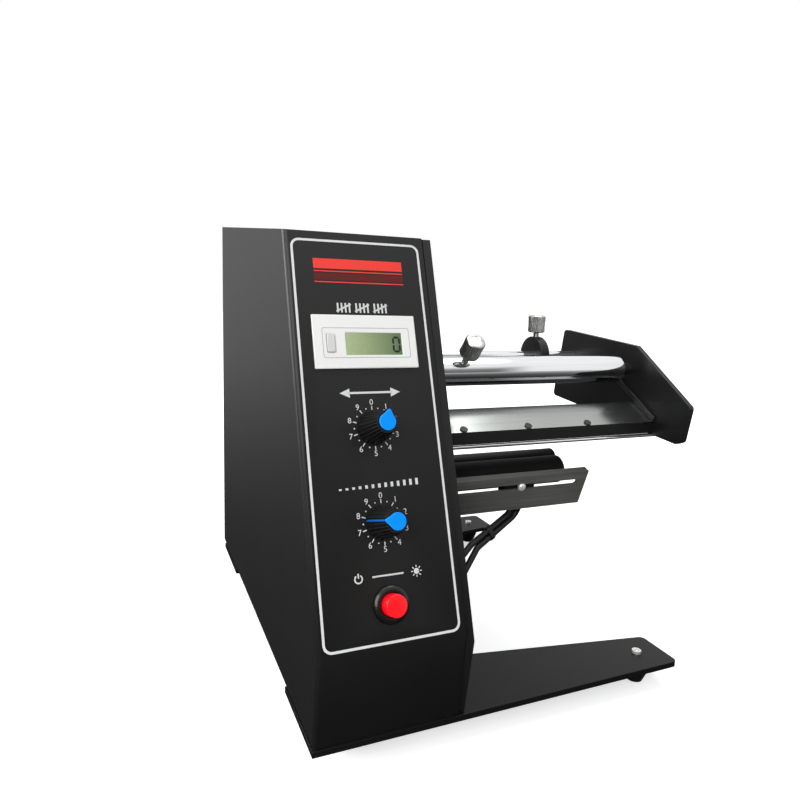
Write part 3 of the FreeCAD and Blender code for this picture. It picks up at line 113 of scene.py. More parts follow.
STEEL = Finish("steel", (0.52, 0.52, 0.51), 0.28, 900.0, 0.12, 0.10, 0.01, Grain.BRUSHED, 1.0)
NICKEL = Finish("nickel", (0.50, 0.50, 0.485), 0.32, 900.0, 0.15, 0.10, 0.01, Grain.BRUSHED, 1.0)
BRIGHT_ZINC = Finish("steel", (0.80, 0.80, 0.77), 0.36, 900.0, 0.10, 0.10, 0.01, Grain.BRUSHED, 0.55)
BLACK_OXIDE = Finish("black_screws", (0.010, 0.010, 0.011), 0.34, 2400.0, 0.2, 0.08, 0.02, specular=0.4)
CHROME = Finish("chrome", (0.84, 0.85, 0.86), 0.08, 500.0, 0.05, 0.05, 0.0, Grain.BRUSHED, 1.0)
GROUND = Finish("ground_steel", (0.10, 0.10, 0.10), 0.35, 900.0, 0.15, 0.08, 0.01, Grain.BRUSHED, 0.9)
MIRROR = Finish("mirror_sheet", (0.40, 0.42, 0.405), 0.17, 420.0, 0.06, 0.06, 0.0, Grain.BRUSHED, 1.0)
ROLLER = Finish("roller_rubber", (0.0055, 0.0055, 0.006), 0.60, 1100.0, 0.25, 0.12, 0.05, Grain.RUBBER,
                specular=0.12)
PINCH = Finish("pinch_black", (0.006, 0.006, 0.006), 0.45, 1500.0, 0.2, 0.10, 0.03, specular=0.2)
SENSOR = Finish("sensor_plastic", (0.006, 0.006, 0.0065), 0.45, 2600.0, 0.2, 0.08, 0.04, specular=0.3)
JACKET = Finish("cable_jacket", (0.006, 0.006, 0.006), 0.42, 1500.0, 0.2, 0.10, 0.03, Grain.RUBBER,
                specular=0.35)
KNOB = Finish("knob_plastic", (0.0050, 0.0050, 0.0055), 0.42, 2600.0, 0.2, 0.08, 0.04, specular=0.3)
BLUE = Finish("cap_blue", (0.000, 0.27, 1.0), 0.34, 1800.0, 0.05, 0.05, 0.01, specular=0.2)
BLUE_LINE = Finish("cap_blue", (0.000, 0.10, 0.42), 0.40, 1800.0, 0.05, 0.05, 0.01, specular=0.2)
POT = Finish("pot_metal", (0.45, 0.45, 0.43), 0.40, 700.0, 0.15, 0.10, 0.02, Grain.BRUSHED, 1.0)
MOTOR = Finish("motor_paint", (0.02, 0.02, 0.022), 0.40, 1300.0, 0.15, 0.08, 0.04)
COUNTER = Finish("counter_plastic", (0.78, 0.78, 0.76), 0.48, 2400.0, 0.03, 0.06, 0.03, specular=0.3)
# The display is painted lighter at its left end and darker towards its right: painted shade, not a colour of
# the display itself.
LCD = Finish("lcd", (0.37, 0.44, 0.24), 0.22, 700.0, 0.05, 0.04, 0.0, coat=0.15, specular=0.3,
             far_colour=(0.105, 0.170, 0.075), fade=(-0.0800, -0.0560))
KEY = Finish("key_plastic", (0.60, 0.61, 0.59), 0.50, 2400.0, 0.04, 0.06, 0.03, specular=0.3)
GLOSS_BLACK = Finish("button_black", (0.006, 0.006, 0.006), 0.22, 2000.0, 0.1, 0.06, 0.01, specular=0.4)
LENS = Finish("button_red", (0.86, 0.004, 0.010), 0.22, 500.0, 0.08, 0.05, 0.0, coat=0.2, glow=0.25,
              specular=0.3)
BOARD = Finish("board_green", (0.015, 0.14, 0.05), 0.35, 800.0, 0.25, 0.08, 0.02, Grain.LAMINATE, coat=0.2)
CHIPS = Finish("board_black", (0.02, 0.02, 0.02), 0.45, 2000.0, 0.2, 0.08, 0.03)
CORE = Finish("core_steel", (0.20, 0.20, 0.19), 0.45, 1500.0, 0.3, 0.1, 0.1, Grain.LAMINATE, 0.9)
TAPE = Finish("coil_tape", (0.55, 0.38, 0.06), 0.40, 600.0, 0.12, 0.08, 0.04, Grain.LAMINATE)
CONNECTOR = Finish("connector_steel", (0.010, 0.010, 0.010), 0.40, 1500.0, 0.15, 0.08, 0.04, specular=0.4)
PRINT_WHITE = Finish("cover_paint", (0.66, 0.67, 0.66), 0.50, 2600.0, 0.04, 0.05, 0.01, specular=0.2)
PRINT_RED = Finish("cover_paint", (0.78, 0.052, 0.040), 0.50, 2600.0, 0.05, 0.05, 0.01, specular=0.2)
PRINT_MAROON = Finish("cover_paint", (0.10, 0.012, 0.010), 0.50, 2600.0, 0.05, 0.05, 0.01, specular=0.2)
PRINT_DARK = Finish("counter_plastic", (0.012, 0.014, 0.012), 0.45, 2600.0, 0.05, 0.05, 0.01, specular=0.2)
PRINT_GREY = Finish("counter_plastic", (0.42, 0.43, 0.42), 0.50, 2600.0, 0.05, 0.05, 0.01, specular=0.2)

SLOT_FINISHES = (PAINT, LEG_PAINT, ANODISED, FOOT, STEEL, NICKEL, BLACK_OXIDE, CHROME, GROUND, MIRROR, ROLLER,
                 PINCH, SENSOR, JACKET, KNOB, BLUE, POT, MOTOR, COUNTER, LCD, KEY, GLOSS_BLACK, LENS, BOARD,
                 CHIPS, CORE, TAPE, CONNECTOR)
GRAIN_STRETCH = {Grain.BRUSHED: (0.03, 1.0, 1.0), Grain.LAMINATE: (1.0, 0.15, 0.15)}
RANGE_ENDS = ("From Min", "From Max", "To Min", "To Max")


def linked(name: str, data: bpy.types.ID) -> bpy.types.Object:
    """Make an object that shows the data and link it to the scene.

    Args:
        name: the object's name.
        data: its mesh, curve, lamp or camera.

    Returns:
        The object.
    """
    thing = bpy.data.objects.new(name, data)
    bpy.context.scene.collection.objects.link(thing)
    return thing


@dataclass
class Wiring:
    """Adds nodes to a shader tree and joins them."""

    tree: bpy.types.NodeTree

    def add(self, kind: str, values: dict[str, object] | None = None, operation: str = "") -> bpy.types.Node:
        """Add one node.

        Args:
            kind: the node's type, without its first word.
            values: what its inputs are set to.
            operation: its operation, where it has one.

        Returns:
            The node.
        """
        node = self.tree.nodes.new(f"ShaderNode{kind}")
        if operation:
            node.operation = operation
        self.fill(node, values or {})
        return node

    def fill(self, node: bpy.types.Node, values: dict[str, object]) -> None:
        """Set a node's inputs by name."""
        for name, value in values.items():
            node.inputs[name].default_value = value

    def join(self, *links: tuple[bpy.types.Node, str | int, bpy.types.Node, str | int]) -> None:
        """Link outputs to inputs, each link given as node, output, node, input."""
        for source, output, target, entry in links:
            self.tree.links.new(source.outputs[output], target.inputs[entry])


class Workshop:
    """Makes materials and mesh objects, and hands each piece to the frame."""

    def __init__(self, frame: dict) -> None:
        """Keep the loaded frame.
        """
        self.frame = frame
        self.made: dict[str, bpy.types.Material] = {}
        self.slot_of = {row["node"]: row["material_slot"] for row in frame["record"]["subparts"]}

    def material(self, finish: Finish) -> bpy.types.Material:
        """Build the node material of a finish, once.

        Args:
            finish: the finish to build.

        Returns:
            A material whose colour, roughness and bump follow noise on Object coordinates.
        """
        key = f"{finish.slot}_{finish.colour}_{finish.grain.value}"
        if key in self.made:
            return self.made[key]
        material = bpy.data.materials.new(finish.slot)
        material.use_nodes = True
        wires = Wiring(material.node_tree)
        shader = material.node_tree.nodes["Principled BSDF"]
        wires.fill(shader, {"Metallic": finish.metallic, "Specular IOR Level": finish.specular,
                            "Coat Weight": finish.coat, "Coat Roughness": 0.25})
        spots = wires.add("TexCoord")
        mapping = wires.add("Mapping", {"Scale": GRAIN_STRETCH.get(finish.grain, (1.0, 1.0, 1.0))})
        noise = wires.add("TexNoise", {"Scale": finish.scale, "Detail": 3.0})
        broad = wires.add("TexNoise", {"Scale": 14.0})
        blend = wires.add("Math", operation="MULTIPLY")
        ramp = wires.add("ValToRGB")
        shares = (1 - finish.shade, 1 + finish.shade)
        for mark, place, share in zip(ramp.color_ramp.elements, (0.12, 0.38), shares):
            mark.position = place
            mark.color = (*(min(1.0, value * share) for value in finish.colour), 1.0)
        spread = wires.add("MapRange", {"To Min": max(0.02, finish.roughness - finish.rough_spread / 2),
                                        "To Max": finish.roughness + finish.rough_spread / 2})
        paint = (ramp, "Color")
        # Painted shade: the colour blends into a darker painted shade colour along X.
        if finish.far_colour is not None:
            paint = self.faded(wires, spots, paint, finish)
        wires.join((spots, "Object", mapping, "Vector"), (mapping, "Vector", noise, "Vector"),
                   (spots, "Object", broad, "Vector"), (noise, "Fac", blend, 0), (broad, "Fac", blend, 1),
                   (blend, "Value", ramp, "Fac"), (*paint, shader, "Base Color"),
                   (noise, "Fac", spread, "Value"), (spread, "Result", shader, "Roughness"))
        if finish.bump > 0.0:
            bump = wires.add("Bump", {"Strength": finish.bump, "Distance": 0.0004})
            wires.join((noise, "Fac", bump, "Height"), (bump, "Normal", shader, "Normal"))
        if finish.glow > 0.0:
            wires.join((*paint, shader, "Emission Color"))
            wires.fill(shader, {"Emission Strength": finish.glow})
        self.made[key] = material
        return material

    def faded(self, wires: Wiring, spots: bpy.types.Node, paint: Output, finish: Finish) -> Output:
        """Paint shade into a colour: blend it into the finish's darker painted shade colour along X.

        Args:
            wires: the material's nodes.
            spots: the node that gives the Object coordinates.
            paint: the near colour.
            finish: gives the painted shade colour and where the blend starts and stops, in metres.

        Returns:
            The blended colour.
        """
        parts = wires.add("SeparateXYZ")
        share = wires.add("MapRange", dict(zip(RANGE_ENDS, finish.fade)))
        mix = wires.add("Mix")
        mix.data_type = "RGBA"
        wires.fill(mix, {"B": (*finish.far_colour, 1.0)})
        wires.join((spots, "Object", parts, 0), (parts, "X", share, "Value"),
                   (share, "Result", mix, "Factor"), (*paint, mix, "A"))
        return mix, "Result"

    def dress_nodes(self, special: dict[str, Finish]) -> None:
        """Give every CAD node the finish of its slot.

        Args:
            special: nodes whose finish differs from the first one of their slot.
        """
        by_slot = {finish.slot: finish for finish in reversed(SLOT_FINISHES)}
        for name, thing in self.frame["nodes"].items():
            finish = special.get(name, by_slot[self.slot_of[name]])
            thing.data.materials.clear()
            thing.data.materials.append(self.material(finish))
            LOG.info("dressed %s with %s", name, finish.slot)

    def keep(self, thing: bpy.types.Object, body: str, finish: Finish, *replaced: str) -> bpy.types.Object:
        """Finish a new piece: dress it, let it ride on its body and hide the CAD nodes that it stands for.

        Args:
            thing: the object.
            body: the body of the frame that it moves with.
            finish: its finish.
            replaced: CAD nodes that it stands for.

        Returns:
            The same object.
        """
        if not thing.data.materials:
            thing.data.materials.append(self.material(finish))
        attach(thing, body)
        if replaced:
            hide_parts(*replaced)
        LOG.info("made %s on %s", thing.name, body)
        return thing

    def softened(self, node: str, body: str, finish: Finish, width: float,
                 segments: int = 2) -> bpy.types.Object:
        """Copy a CAD node, merge its triangles and round its sharp edges.

        Args:
            node: the CAD node.
            body: the body it belongs to.
            finish: the copy's finish.
            width: the width of the rounding, in millimetres.
            segments: how many faces cross the rounding.

        Returns:
            The rounded copy, which stands for the node.
        """
        mesh = self.frame["nodes"][node].data.copy()
        mesh.materials.clear()
        work = bmesh.new()
        work.from_mesh(mesh)
        bmesh.ops.remove_doubles(work, verts=work.verts, dist=1e-6)
        bmesh.ops.dissolve_limit(work, angle_limit=math.radians(1.0), verts=work.verts, edges=work.edges)
        work.to_mesh(mesh)
        work.free()
        if "custom_normal" in mesh.attributes:
            mesh.attributes.remove(mesh.attributes["custom_normal"])
        thing = linked(f"{node}_edges", mesh)
        bevel = thing.modifiers.new("edges", "BEVEL")
        bevel.width = width * MM
        bevel.segments = segments
        bevel.limit_method = "ANGLE"
        bevel.angle_limit = math.radians(32.0)
        bevel.use_clamp_overlap = True
        mesh.shade_smooth()
        mesh.set_sharp_from_angle(angle=math.radians(34.0))
        return self.keep(thing, body, finish, node)


# ---------------------------------------------------------------- surfaces

@dataclass
class Shell:
    """A growing set of points and faces that becomes one mesh."""

    points: list[np.ndarray] = field(default_factory=list)
    faces: list[list[int]] = field(default_factory=list)
    count: int = 0

    def grid(self, spots: np.ndarray, close_rows: bool = False, caps: bool = False) -> None:
        """Add a grid of points that wraps round its columns.

        Args:
            spots: an array of shape (rows, columns, 3).
            close_rows: join the last row to the first.
            caps: close the first and last rows with one face each.
        """
        rows, columns = spots.shape[:2]
        index = np.arange(rows * columns).reshape(rows, columns) + self.count
        upper = index if close_rows else index[:-1]
        lower = np.roll(index, -1, axis=0) if close_rows else index[1:]
        quads = np.stack([upper, np.roll(upper, -1, axis=1), np.roll(lower, -1, axis=1), lower], axis=-1)
        self.faces += quads.reshape(-1, 4).tolist()
        if caps:
            self.faces += [index[0, ::-1].tolist(), index[-1].tolist()]
        self.points.append(spots.reshape(-1, 3))
        self.count += rows * columns

    def prism(self, outline: np.ndarray, low: float, high: float,
              placed: Callable[[np.ndarray], np.ndarray]) -> None:
        """Add a flat shape with a thickness.

        Args:
            outline: points (n, 2) round the shape.
            low: height of its back.
            high: height of its front.
            placed: turns local points (n, 3) into the row frame.
        """
        layers = [np.column_stack([outline, np.full(len(outline), level)]) for level in (low, high)]
        self.grid(np.stack([placed(layer) for layer in layers]), caps=True)

    def build(self, name: str, crease: float = 30.0) -> bpy.types.Object:
        """Make the mesh object with outward normals.

        Args:
            name: the object's name.
            crease: edges sharper than this stay sharp, in degrees.

        Returns:
            The object, linked to the scene.
        """
        mesh = bpy.data.meshes.new(name)
        mesh.from_pydata(np.concatenate(self.points), [], self.faces)
        work = bmesh.new()
        work.from_mesh(mesh)
        bmesh.ops.remove_doubles(work, verts=work.verts, dist=1e-8)
        bmesh.ops.dissolve_degenerate(work, dist=1e-9, edges=work.edges)
        bmesh.ops.recalc_face_normals(work, faces=work.faces)
        work.to_mesh(mesh)
        work.free()
        mesh.shade_smooth()
        mesh.set_sharp_from_angle(angle=math.radians(crease))
        return linked(name, mesh)


def basis(axis: Sequence[float]) -> np.ndarray:
    """Three unit columns whose last one is the axis.

    Args:
        axis: a direction in the row frame.

    Returns:
        A 3 by 3 array of columns.
    """
    along = np.array(axis, float) / np.linalg.norm(axis)
    helper = np.array([1.0, 0.0, 0.0]) if abs(along[0]) < 0.9 else np.array([0.0, 1.0, 0.0])
    across = np.cross(helper, along)
    across /= np.linalg.norm(across)
    return np.column_stack([np.cross(across, along) * -1.0, across, along])


def turned(shell: Shell, profile: Sequence[tuple[float, float]], origin: Point, axis: Sequence[float],
           steps: int = 96, relief: Callable[[np.ndarray, np.ndarray], np.ndarray] | None = None,
           ring: bool = False) -> None:
    """Add a turned shape: each profile point (along, radius) runs once round the axis.

    Args:
        shell: what the surface is added to.
        profile: distances along the axis and radii, in millimetres.
        origin: where the axis starts, in millimetres of the row frame.
        axis: the axis direction.
        steps: points round the axis.
        relief: extra radius from angle and distance, both arrays.
        ring: the profile closes on itself instead of on the axis.
    """
    line = np.array(profile, float)
    angle = np.linspace(0.0, 2 * np.pi, steps, endpoint=False)
    along = np.repeat(line[:, :1], steps, axis=1)
    radius = np.repeat(line[:, 1:], steps, axis=1)
    if relief is not None:
        radius = radius + relief(angle[None, :], along) * (radius > 0)
    local = np.stack([radius * np.cos(angle), radius * np.sin(angle), along], axis=-1)
    spots = local @ basis(axis).T + np.array(origin)
    shell.grid(spots * MM, close_rows=ring)


def bar_profile(radius: float, length: float, edge: float, bore: float = 0.0) -> list[tuple[float, float]]:
    """Profile of a round bar or tube whose outer rims are quarter circles.

    Args:
        radius: outer radius.
        length: length along the axis.
        edge: radius of the rim rounding.
        bore: bore radius, or none for a closed bar.

    Returns:
        Profile points from one end to the other.
    """
    turns = np.linspace(0.0, np.pi / 2, 5)
    near = [(edge - edge * math.cos(t), radius - edge + edge * math.sin(t)) for t in turns]
    far = [(length - x, r) for x, r in reversed(near)]
    return [(0.0, bore), *near, *far, (length, bore)]


def rounded_rectangle(width: float, height: float, corner: float, steps: int = 10) -> np.ndarray:
    """Outline of a rectangle about its centre: a quarter circle round each corner's own centre.

    Args:
        width: full width.
        height: full height.
        corner: corner radius.
        steps: points on each corner.

    Returns:
        An array of shape (n, 2), anticlockwise.
    """
    turn = np.linspace(0.0, np.pi / 2, steps)
    x, y = width / 2 - corner, height / 2 - corner
    quarters = []
    for number, (sx, sy) in enumerate(((1, 1), (-1, 1), (-1, -1), (1, -1))):
        angle = turn + number * np.pi / 2
        quarters.append(np.column_stack([sx * x + corner * np.cos(angle), sy * y + corner * np.sin(angle)]))
    return np.concatenate(quarters)


def block_outline(width: float, height: float) -> np.ndarray:
    """Outline of a plain rectangle about its centre."""
    return np.array([[-0.5, -0.5], [0.5, -0.5], [0.5, 0.5], [-0.5, 0.5]]) * (width, height)


def arc_band(radius: float, width: float, start: float, stop: float, steps: int = 40) -> np.ndarray:
    """Outline of a circular stripe: its outer arc one way, then its inner arc back.

    Args:
        radius: radius of the stripe's middle line.
        width: the stripe's width.
        start: first angle in degrees, anticlockwise from the right.
        stop: last angle.
        steps: points on each arc.

    Returns:
        An array of shape (2 * steps, 2).
    """
    angle = np.radians(np.linspace(start, stop, steps))
    rim = np.column_stack([np.cos(angle), np.sin(angle)])
    return np.concatenate([rim * (radius + width / 2), rim[::-1] * (radius - width / 2)])


def clockwise(radius: float, turn: float) -> tuple[float, float]:
    """Across and up of a point on a circle, turned clockwise from straight up by some degrees."""
    angle = math.radians(turn)
    return radius * math.sin(angle), radius * math.cos(angle)


# ---------------------------------------------------------------- shared places

@dataclass(frozen=True)
class Places:
    """The places that the sub-assemblies share, in millimetres of the row frame or of the panel."""

    left: float = -104.5
    front: float = -120.9
    base: float = 12.0
    chin_up: float = 44.8
    lean: float = math.radians(20.75)
    plate_right: float = -33.5
    side_left: float = 99.5
    middle: float = 33.2
    length_at: float = 90.9
    speed_at: float = 50.6

    def on_panel(self, local: np.ndarray) -> np.ndarray:
        """Place points on the sloping panel: up runs along its slope and out stands square to it.

        Args:
            local: distances across, up and out, (..., 3), in millimetres.

        Returns:
            The same points in metres of the row frame.
        """
        across, up, out = local[..., 0], local[..., 1], local[..., 2]
        sine, cosine = math.sin(self.lean), math.cos(self.lean)
        return np.stack([self.left + across, self.front + up * sine - out * cosine,
                         self.base + self.chin_up + up * cosine + out * sine], axis=-1) * MM

    def out(self) -> Point:
        """The panel's outward direction."""
        return (0.0, -math.cos(self.lean), math.sin(self.lean))


PLACES = Places()


def stamped(shell: Shell, outline: np.ndarray, spot: tuple[float, float], low: float, high: float,
            turn: float = 0.0) -> None:
    """Add one printed shape that lies on the panel.

    Args:
        shell: what it is added to.
        outline: the shape about its own centre.
        spot: its centre across and up the panel.
        low: height of its back above the panel.
        high: height of its front above the panel.
        turn: turning in the panel's plane in degrees, clockwise.
    """
    angle = math.radians(-turn)
    spin = np.array([[math.cos(angle), -math.sin(angle)], [math.sin(angle), math.cos(angle)]])
    shell.prism(outline @ spin.T + spot, low, high, PLACES.on_panel)


def closed_line(name: str, centre: tuple[float, float], outer: np.ndarray, inner: np.ndarray, low: float,
                high: float) -> bpy.types.Object:
    """Make a printed line that runs round a field of the panel.

    Args:
        name: the object's name.
        centre: the field's centre across and up the panel.
        outer: the line's outer outline.
        inner: the line's inner outline, with as many points.
        low: height of its back above the panel.
        high: height of its front above the panel.

    Returns:
        The line's object.
    """
    loops = [(inner, low), (inner, high), (outer, high), (outer, low)]
    rows = [np.column_stack([loop + centre, np.full(len(loop), level)]) for loop, level in loops]
    shell = Shell()
    shell.grid(PLACES.on_panel(np.stack(rows)), close_rows=True)
    return shell.build(name)


# ---------------------------------------------------------------- control box

@dataclass
class ControlBox:
    """The sheet-metal cover, main plate, legs and feet."""

    bend: float = 0.5
    foot_radius: float = 8.5
    foot_low: float = 4.5
    foot_height: float = 12.0
    feet_at: tuple[tuple[float, float], ...] = ((-88.5, -93.4), (77.5, -101.9), (-88.5, 91.6), (86.5, 100.1))

    def build(self, shop: Workshop) -> None:
        """Round the sheet edges and turn the feet.

        Args:
            shop: where pieces are made.
        """
        shop.softened("cover", "frame", PAINT, self.bend, 3)
        shop.softened("main_plate", "frame", PLATE_EDGE, 0.35)
        for leg in ("front_leg", "rear_leg"):
            shop.softened(leg, "frame", LEG_PAINT, 0.45)
        shop.softened("connector_plate", "frame", CONNECTOR, 0.3)
        shop.softened("mains_inlet", "frame", GLOSS_BLACK, 0.4)
        self.feet(shop)

    def feet(self, shop: Workshop) -> None:
        """Turn the four conical feet: a cone with a rounded foot and a small step under the leg.

        Args:
            shop: where pieces are made.
        """
        shell = Shell()
        low, height, radius = self.foot_low, self.foot_height, self.foot_radius
        profile = [(0.0, 0.0), (0.0, low - 0.9), (0.25, low - 0.3), (0.9, low), (height - 1.4, radius - 0.25),
                   (height - 0.6, radius), (height - 0.1, radius - 0.2), (height - 0.1, 0.0)]
        for x, y in self.feet_at:
            turned(shell, profile, (x, y, 0.0), (0, 0, 1), 64)
        shop.keep(shell.build("foot_cones"), "frame", FOOT, "rubber_feet")


# ---------------------------------------------------------------- printed panel

@dataclass
class PanelPrint:
    """The generic printing on the panel: border, stripes, dial scales and pictograms."""

    film: float = 0.05
    sunk: float = 0.02
    border_left: float = 3.4
    border_right: float = 63.4
    border_low: float = 2.2
    border_top: float = 175.6
    border_corner: float = 3.4
    border_width: float = 1.05
    stripe_length: float = 42.0
    scale_radius: float = 11.2
    tick_radius: float = 8.8
    digit_height: float = 2.4
    digit_share: float = 0.69
    tally_up: float = 144.7
    arrow_up: float = 106.4
    bars_up: float = 65.2
    signs_up: float = 28.9
    sign_out: float = 13.0

    def build(self, shop: Workshop) -> None:
        """Print everything.

        Args:
            shop: where pieces are made.
        """
        self.border(shop)
        self.stripes(shop)
        self.scales(shop)
        self.pictograms(shop)

    def stamp(self, shell: Shell, outline: np.ndarray, x: float, up: float, turn: float = 0.0) -> None:
        """Print one shape on the panel.

        Args:
            shell: what it is added to.
            outline: the shape about its own centre.
            x: its place across, from the panel's middle.
            up: its place up the panel.
            turn: turning in degrees, clockwise.
        """
        stamped(shell, outline, (PLACES.middle + x, up), -self.sunk, self.film, turn)

    def border(self, shop: Workshop) -> None:
        """Print the white border with its round corners.

        Args:
            shop: where pieces are made.
        """
        width, height = self.border_right - self.border_left, self.border_top - self.border_low
        centre = ((self.border_left + self.border_right) / 2, (self.border_low + self.border_top) / 2)
        stroke = self.border_width
        outer = rounded_rectangle(width + stroke, height + stroke, self.border_corner + 0.5)
        inner = rounded_rectangle(width - stroke, height - stroke, self.border_corner - 0.5)
        line = closed_line("panel_border", centre, outer, inner, -self.sunk, self.film)
        shop.keep(line, "frame", PRINT_WHITE)

    def stripes(self, shop: Workshop) -> None:
        """Print the plain red stripes under the top of the border.

        Args:
            shop: where pieces are made.
        """
        for name, finish, stripes in (
                ("panel_stripes", PRINT_RED, ((4.6, 164.9), (0.5, 161.4), (0.5, 156.4))),
                ("panel_band", PRINT_MAROON, ((3.2, 158.9),))):
            shell = Shell()
            for height, up in stripes:
                self.stamp(shell, block_outline(self.stripe_length, height), 0.2, up)
            shop.keep(shell.build(name), "frame", finish)

    def digit(self, text: str, x: float, up: float) -> bpy.types.Mesh:
        """Make one printed figure as a mesh: filled type, centred, laid on the panel.

        Args:
            text: the figure.
            x: its centre across the panel.
            up: its centre up the panel.

        Returns:
            The figure's mesh.
        """
        curve = bpy.data.curves.new("figure", "FONT")
        curve.body = text
        curve.align_x, curve.align_y = "CENTER", "CENTER"
        curve.size = self.digit_height / self.digit_share
        curve.extrude = self.film / 2
        source = linked("figure", curve)
        mesh = bpy.data.meshes.new_from_object(source.evaluated_get(bpy.context.evaluated_depsgraph_get()))
        bpy.data.objects.remove(source)
        spots = np.empty(len(mesh.vertices) * 3)
        mesh.vertices.foreach_get("co", spots)
        local = spots.reshape(-1, 3) + (x, up, self.film / 2)
        mesh.vertices.foreach_set("co", PLACES.on_panel(local).ravel())
        return mesh

    def scales(self, shop: Workshop) -> None:
        """Print ten figures, ten ticks and ten dots round each dial, every 36 degrees clockwise.

        Args:
            shop: where pieces are made.
        """
        tick, dot = block_outline(0.45, 1.7), arc_band(0.16, 0.3, 0, 345, 12)[:12]
        for word, centre in (("length", PLACES.length_at), ("speed", PLACES.speed_at)):
            marks = Shell()
            figures = bmesh.new()
            for number in range(10):
                turn = 36.0 * number
                x, up = clockwise(self.scale_radius, turn)
                figure = self.digit(str(number), PLACES.middle + x, centre + up)
                figures.from_mesh(figure)
                bpy.data.meshes.remove(figure)
                x, up = clockwise(self.tick_radius, turn)
                self.stamp(marks, tick, x, centre + up, turn)
                x, up = clockwise(self.tick_radius, turn + 18.0)
                self.stamp(marks, dot, x, centre + up)
            mesh = bpy.data.meshes.new(f"{word}_figures")
            figures.to_mesh(mesh)
            figures.free()
            shop.keep(linked(f"{word}_figures", mesh), "frame", PRINT_WHITE)
            shop.keep(marks.build(f"{word}_ticks"), "frame", PRINT_WHITE)

    def pictograms(self, shop: Workshop) -> None:
        """Print tally marks, a double arrow, a rising row of bars, a switch sign and a lamp sign.

        Args:
            shop: where pieces are made.
        """
        shell = Shell()
        for group in (-8.6, 0.0, 8.6):
            for stroke in (-2.7, -0.9, 0.9, 2.7):
                self.stamp(shell, block_outline(0.75, 4.4), group + stroke, self.tally_up)
            self.stamp(shell, block_outline(0.75, 7.6), group, self.tally_up, 64.0)
        head = np.array([[-14.0, 0.0], [-9.5, 2.0], [-9.5, -2.0]])
        for outline in (block_outline(20.0, 0.9), head, -head):
            self.stamp(shell, outline, 0.0, self.arrow_up)
        for number in range(-6, 7):
            height = 1.72 + 0.17 * number
            self.stamp(shell, block_outline(1.2, height), 2.9 * number, self.bars_up + height / 2)
        for outline, x, rise in ((arc_band(1.6, 0.6, 125, 415), -self.sign_out, -0.1),
                                 (block_outline(0.6, 1.9), -self.sign_out, 1.2),
                                 (block_outline(14.0, 0.7), 0.0, 0.0),
                                 (arc_band(0.6, 1.2, 0, 350, 20), self.sign_out, 0.0)):
            self.stamp(shell, outline, x, self.signs_up + rise)
        for turn in np.arange(0.0, 360.0, 45.0):
            x, up = clockwise(2.0, turn)
            self.stamp(shell, block_outline(0.4, 0.9), self.sign_out + x, self.signs_up + up, turn)
        shop.keep(shell.build("panel_pictograms"), "frame", PRINT_WHITE)


# ---------------------------------------------------------------- counter

@dataclass
class Counter:
    """The panel counter: rim, display window with its figure, and the reset key."""

    left: float = 9.2
    low: float = 117.1
    rim: float = 1.5
    window_top: float = 1.2
    figure_x: float = 38.2
    figure_up: float = 10.6
    half_width: float = 1.45
    half_height: float = 3.2
    stroke: float = 0.95
    sunk: float = 0.02
    film: float = 0.04

    def build(self, shop: Workshop) -> None:
        """Dress the counter.

        Args:
            shop: where pieces are made.
        """
        shop.softened("counter_case", "frame", COUNTER, 0.45, 3)
        shop.softened("reset_key", "counter_reset", KEY, 0.3)
        outer, inner = rounded_rectangle(40.6, 13.6, 1.0), rounded_rectangle(40.0, 13.0, 0.8)
        line = closed_line("counter_line", (self.left + 24.3, self.low + 11.3), outer, inner,
                           self.rim - self.sunk, self.rim + self.film)
        shop.keep(line, "frame", PRINT_GREY)
        self.figure(shop)

    def figure(self, shop: Workshop) -> None:
        """Draw the display's nought from six segments with pointed ends.

        Args:
            shop: where pieces are made.
        """
        shell = Shell()
        segments = [(0.0, side * self.half_height, 2 * self.half_width, 0.0) for side in (1, -1)]
        segments += [(side * self.half_width, rise * self.half_height / 2, self.half_height, -90.0)
                     for side in (-1, 1) for rise in (-1, 1)]
        for x, up, length, turn in segments:
            end, half = length / 2 - 0.12, self.stroke / 2
            outline = np.array([[-end, 0.0], [-end + half, -half], [end - half, -half],
                                [end, 0.0], [end - half, half], [-end + half, half]])
            spot = (self.left + self.figure_x + x, self.low + self.figure_up + up)
            stamped(shell, outline, spot, self.window_top - self.sunk, self.window_top + self.film, turn)
        shop.keep(shell.build("display_figure"), "frame", PRINT_DARK)


# ---------------------------------------------------------------- dials and button

